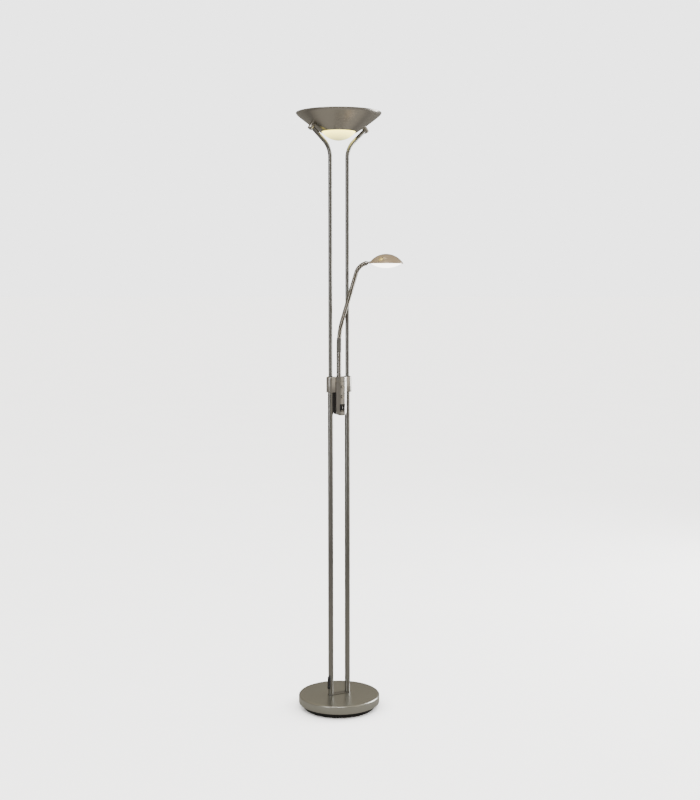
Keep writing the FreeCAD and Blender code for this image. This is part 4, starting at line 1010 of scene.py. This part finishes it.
# %% Pins
pen = Pen("pin_right", 0, 0.5)
pen.line((7.5, 0.5), (7.5, 10), (7.5, 19)).arc(6.5, 19, 90, 4).line((3, 20), (2.6, 19.6), (0, 19.6))
outward = Vector((0.57498, 0, -0.81817))
aim = Vector((0, 0, 1)).rotation_difference(outward).to_matrix().to_4x4()
pin_right = placed(smooth(pen.turned(56), 30), Matrix.Translation((84.45, 0, 1764.07)) @ aim)
pin_left = mirrored(pin_right, "pin_left")
fitted(pin_right, bowl_nickel, "satin_nickel", "lamp", "holder_pins")
fitted(pin_left, bowl_nickel, "satin_nickel", "lamp", "holder_pins")

# %% [markdown]
# The glass is a flat dome under the bowl with a neck through its opening and a flange inside it.

# %% Glass dome
GLASS_RADIUS, GLASS_FOOT = 61.307, 1719
glass_centre = GLASS_FOOT + GLASS_RADIUS
pen = Pen("glass_under_bowl", 0, GLASS_FOOT)
lean = math.degrees(math.asin(49.4 / GLASS_RADIUS))
pen.arc(0, glass_centre, lean, 26).line((49.4, 1746), (54, 1746), (54, 1749), (46.4, 1749), (46.4, 1745))
pen.arc(0, glass_centre, -52.6, 20).line((0, 1722))
fitted(smooth(pen.turned(128), 40), opal_glass, "opal_glass", "lamp", "glass_dome")

# %% [markdown]
# Above the glass, a cap of opal plastic covers the upper lamps and lights the ceiling.

# %% Cap of the uplight
pen = Pen("cap_of_uplight", 37, 1772)
pen.line((40, 1772), (40, 1776)).arc(37, 1776, 90, 6)
pen.line((0, 1779), (0, 1777.4), (37, 1777.4), (37, 1772))
fitted(smooth(pen.turned(96), 30), opal_cap, "opal_plastic", "lamp", "module_cover")

# %% [markdown]
# ## Finishes for the CAD pieces that stay
# Flat-sided and hidden pieces keep their CAD shape and only get their finish.

# %% Carried-over nodes
kept = {
    zinc: ("foot_inserts foot_nuts plinth_screws cover_screws clamp_screws arm_nut pin_screws bowl_strap "
           "strap_screws head_screw rocker_axle upper_shaft lower_shaft glass_ring"),
    cast_iron: "base_weight",
    alloy: "light_module head_sink",
    brass: "switch_terminals",
    black_rubber: "glass_gasket",
    white_plastic: "power_supply terminal_block reducer_sleeves",
    board_green: "dimmer_board dimmers",
    board_white: "upper_board lower_board head_board",
    chip_yellow: "light_chips head_chips",
}
for finish, names in kept.items():
    for name in names.split():
        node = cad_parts[name]
        node.data.materials.clear()
        node.data.materials.append(finish)
print("CAD nodes with a finish:", sum(len(names.split()) for names in kept.values()))

# %% [markdown]
# ## Floor and light
# The lamp stands on a plain pale floor in front of a pale background, under a wide soft light from above.
# Nickel looks like what it mirrors, so that much white would make it white. So only the camera sees them
# pale: metal sees a grey floor and a dim warm room. That grey holds painted light: it is lightest near the
# lamp, darkest about two metres away and a little lighter beyond, so what the metal mirrors isn't one flat
# tone.

# %% Floor
WHITE = 3.3
SKY = 10.3
FLOOR_RADIUS = 200
nothing_selected()
bpy.ops.mesh.primitive_circle_add(vertices=64, radius=FLOOR_RADIUS, fill_type="NGON")
floor = bpy.context.object
floor.name = "floor"
floor_paint, nodes, links, shader, place = new_finish("pale floor")
clouds = noise(nodes, links, place, 2.0)
away = nodes.new("ShaderNodeVectorMath")
away.operation = "LENGTH"
links.new(place, away.inputs[0])
metres = nodes.new("ShaderNodeMapRange")
metres.inputs["From Min"].default_value = 1.2
metres.inputs["From Max"].default_value = 3.0
links.new(away.outputs["Value"], metres.inputs["Value"])
# Painted light on the floor that metal mirrors: lightest near the lamp, darkest about two metres away.
grey = ramp(nodes, links, metres.outputs["Result"], (0.0, (0.128, 0.121, 0.108)),
            (0.4, (0.045, 0.043, 0.040)), (1.0, (0.090, 0.086, 0.078)))
pale = ramp(nodes, links, clouds, (0.3, (0.890, 0.890, 0.890)), (0.7, (0.905, 0.905, 0.905)))
paint = nodes.new("ShaderNodeMixRGB")
links.new(nodes.new("ShaderNodeLightPath").outputs["Is Camera Ray"], paint.inputs[0])
links.new(grey, paint.inputs[1])
links.new(pale, paint.inputs[2])
links.new(paint.outputs[0], shader.inputs["Base Color"])
shader.inputs["Roughness"].default_value = 0.9
shader.inputs["Specular IOR Level"].default_value = 0.0
floor.data.materials.append(floor_paint)
floor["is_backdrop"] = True
print("floor radius", FLOOR_RADIUS, "m")

# %% [markdown]
# A very wide sun straight above gives the same soft light all over the floor. The metal doesn't mirror it.
# Four softboxes stand round the lamp, each at an angle from the X axis: they draw the long light lines on
# the tubes, and the dim room between them leaves the dark ones. Their sizes are metres, and strength is how
# bright a softbox looks.

# %% Lights
def softbox(name, angle, distance, height, width, tall, strength, colour=(1, 1, 1)):
    data = bpy.data.lights.new(name, "AREA")
    data.shape = "RECTANGLE"
    data.size, data.size_y = width, tall
    data.energy, data.color = strength * math.pi * width * tall, colour
    box = bpy.data.objects.new(name, data)
    bpy.context.scene.collection.objects.link(box)
    turn = math.radians(angle)
    box.location = (distance * math.cos(turn), distance * math.sin(turn), height)
    box.rotation_euler = (Vector((0, 0, 1.0)) - box.location).to_track_quat("-Z", "Y").to_euler()


sky_data = bpy.data.lights.new("soft sky", "SUN")
sky_data.energy, sky_data.angle = SKY, math.radians(120)
sky = bpy.data.objects.new("soft sky", sky_data)
sky.location = (0, 0, 5)
sky.visible_glossy = False
bpy.context.scene.collection.objects.link(sky)
softbox("right softbox", -4, 3.2, 1.5, 2.0, 2.6, 9.0)
softbox("left strip", -153, 3.2, 1.5, 0.45, 2.8, 5.0)
softbox("warm card", -62, 3.2, 1.5, 1.2, 2.6, 0.9, (1.0, 0.90, 0.72))
softbox("front strip", -118, 2.6, 4.1, 2.4, 0.8, 11.0)
print("a soft sky and four softboxes")

# %% [markdown]
# The room is dark at eye level and lighter and warmer towards its ceiling.

# %% Room
world = bpy.data.worlds.new("studio")
bpy.context.scene.world = world
world.use_nodes = True
nodes, links = world.node_tree.nodes, world.node_tree.links
nodes.clear()
upward = nodes.new("ShaderNodeSeparateXYZ")
links.new(nodes.new("ShaderNodeTexCoord").outputs["Generated"], upward.inputs[0])
room, white = nodes.new("ShaderNodeBackground"), nodes.new("ShaderNodeBackground")
walls = ramp(nodes, links, upward.outputs[2], (0.02, (0.200, 0.190, 0.170)), (0.70, (0.560, 0.500, 0.390)))
links.new(walls, room.inputs["Color"])
white.inputs["Color"].default_value = (1, 1, 1, 1)
white.inputs["Strength"].default_value = WHITE
mixer, out = nodes.new("ShaderNodeMixShader"), nodes.new("ShaderNodeOutputWorld")
links.new(nodes.new("ShaderNodeLightPath").outputs["Is Camera Ray"], mixer.inputs[0])
links.new(room.outputs[0], mixer.inputs[1])
links.new(white.outputs[0], mixer.inputs[2])
links.new(mixer.outputs[0], out.inputs["Surface"])
print("a dim warm room")

# %% [markdown]
# ## The end
# The box of the CAD model is set against the box of the dressed lamp, and how far it grew is printed: the
# finer pieces should add next to nothing.

# %% Sizes, and finish
now_low, now_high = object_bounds()
grown_low = [round(c / MM, 2) for c in cad_low - now_low]
grown_high = [round(c / MM, 2) for c in now_high - cad_high]
print("grown by", grown_low, grown_high, "mm")
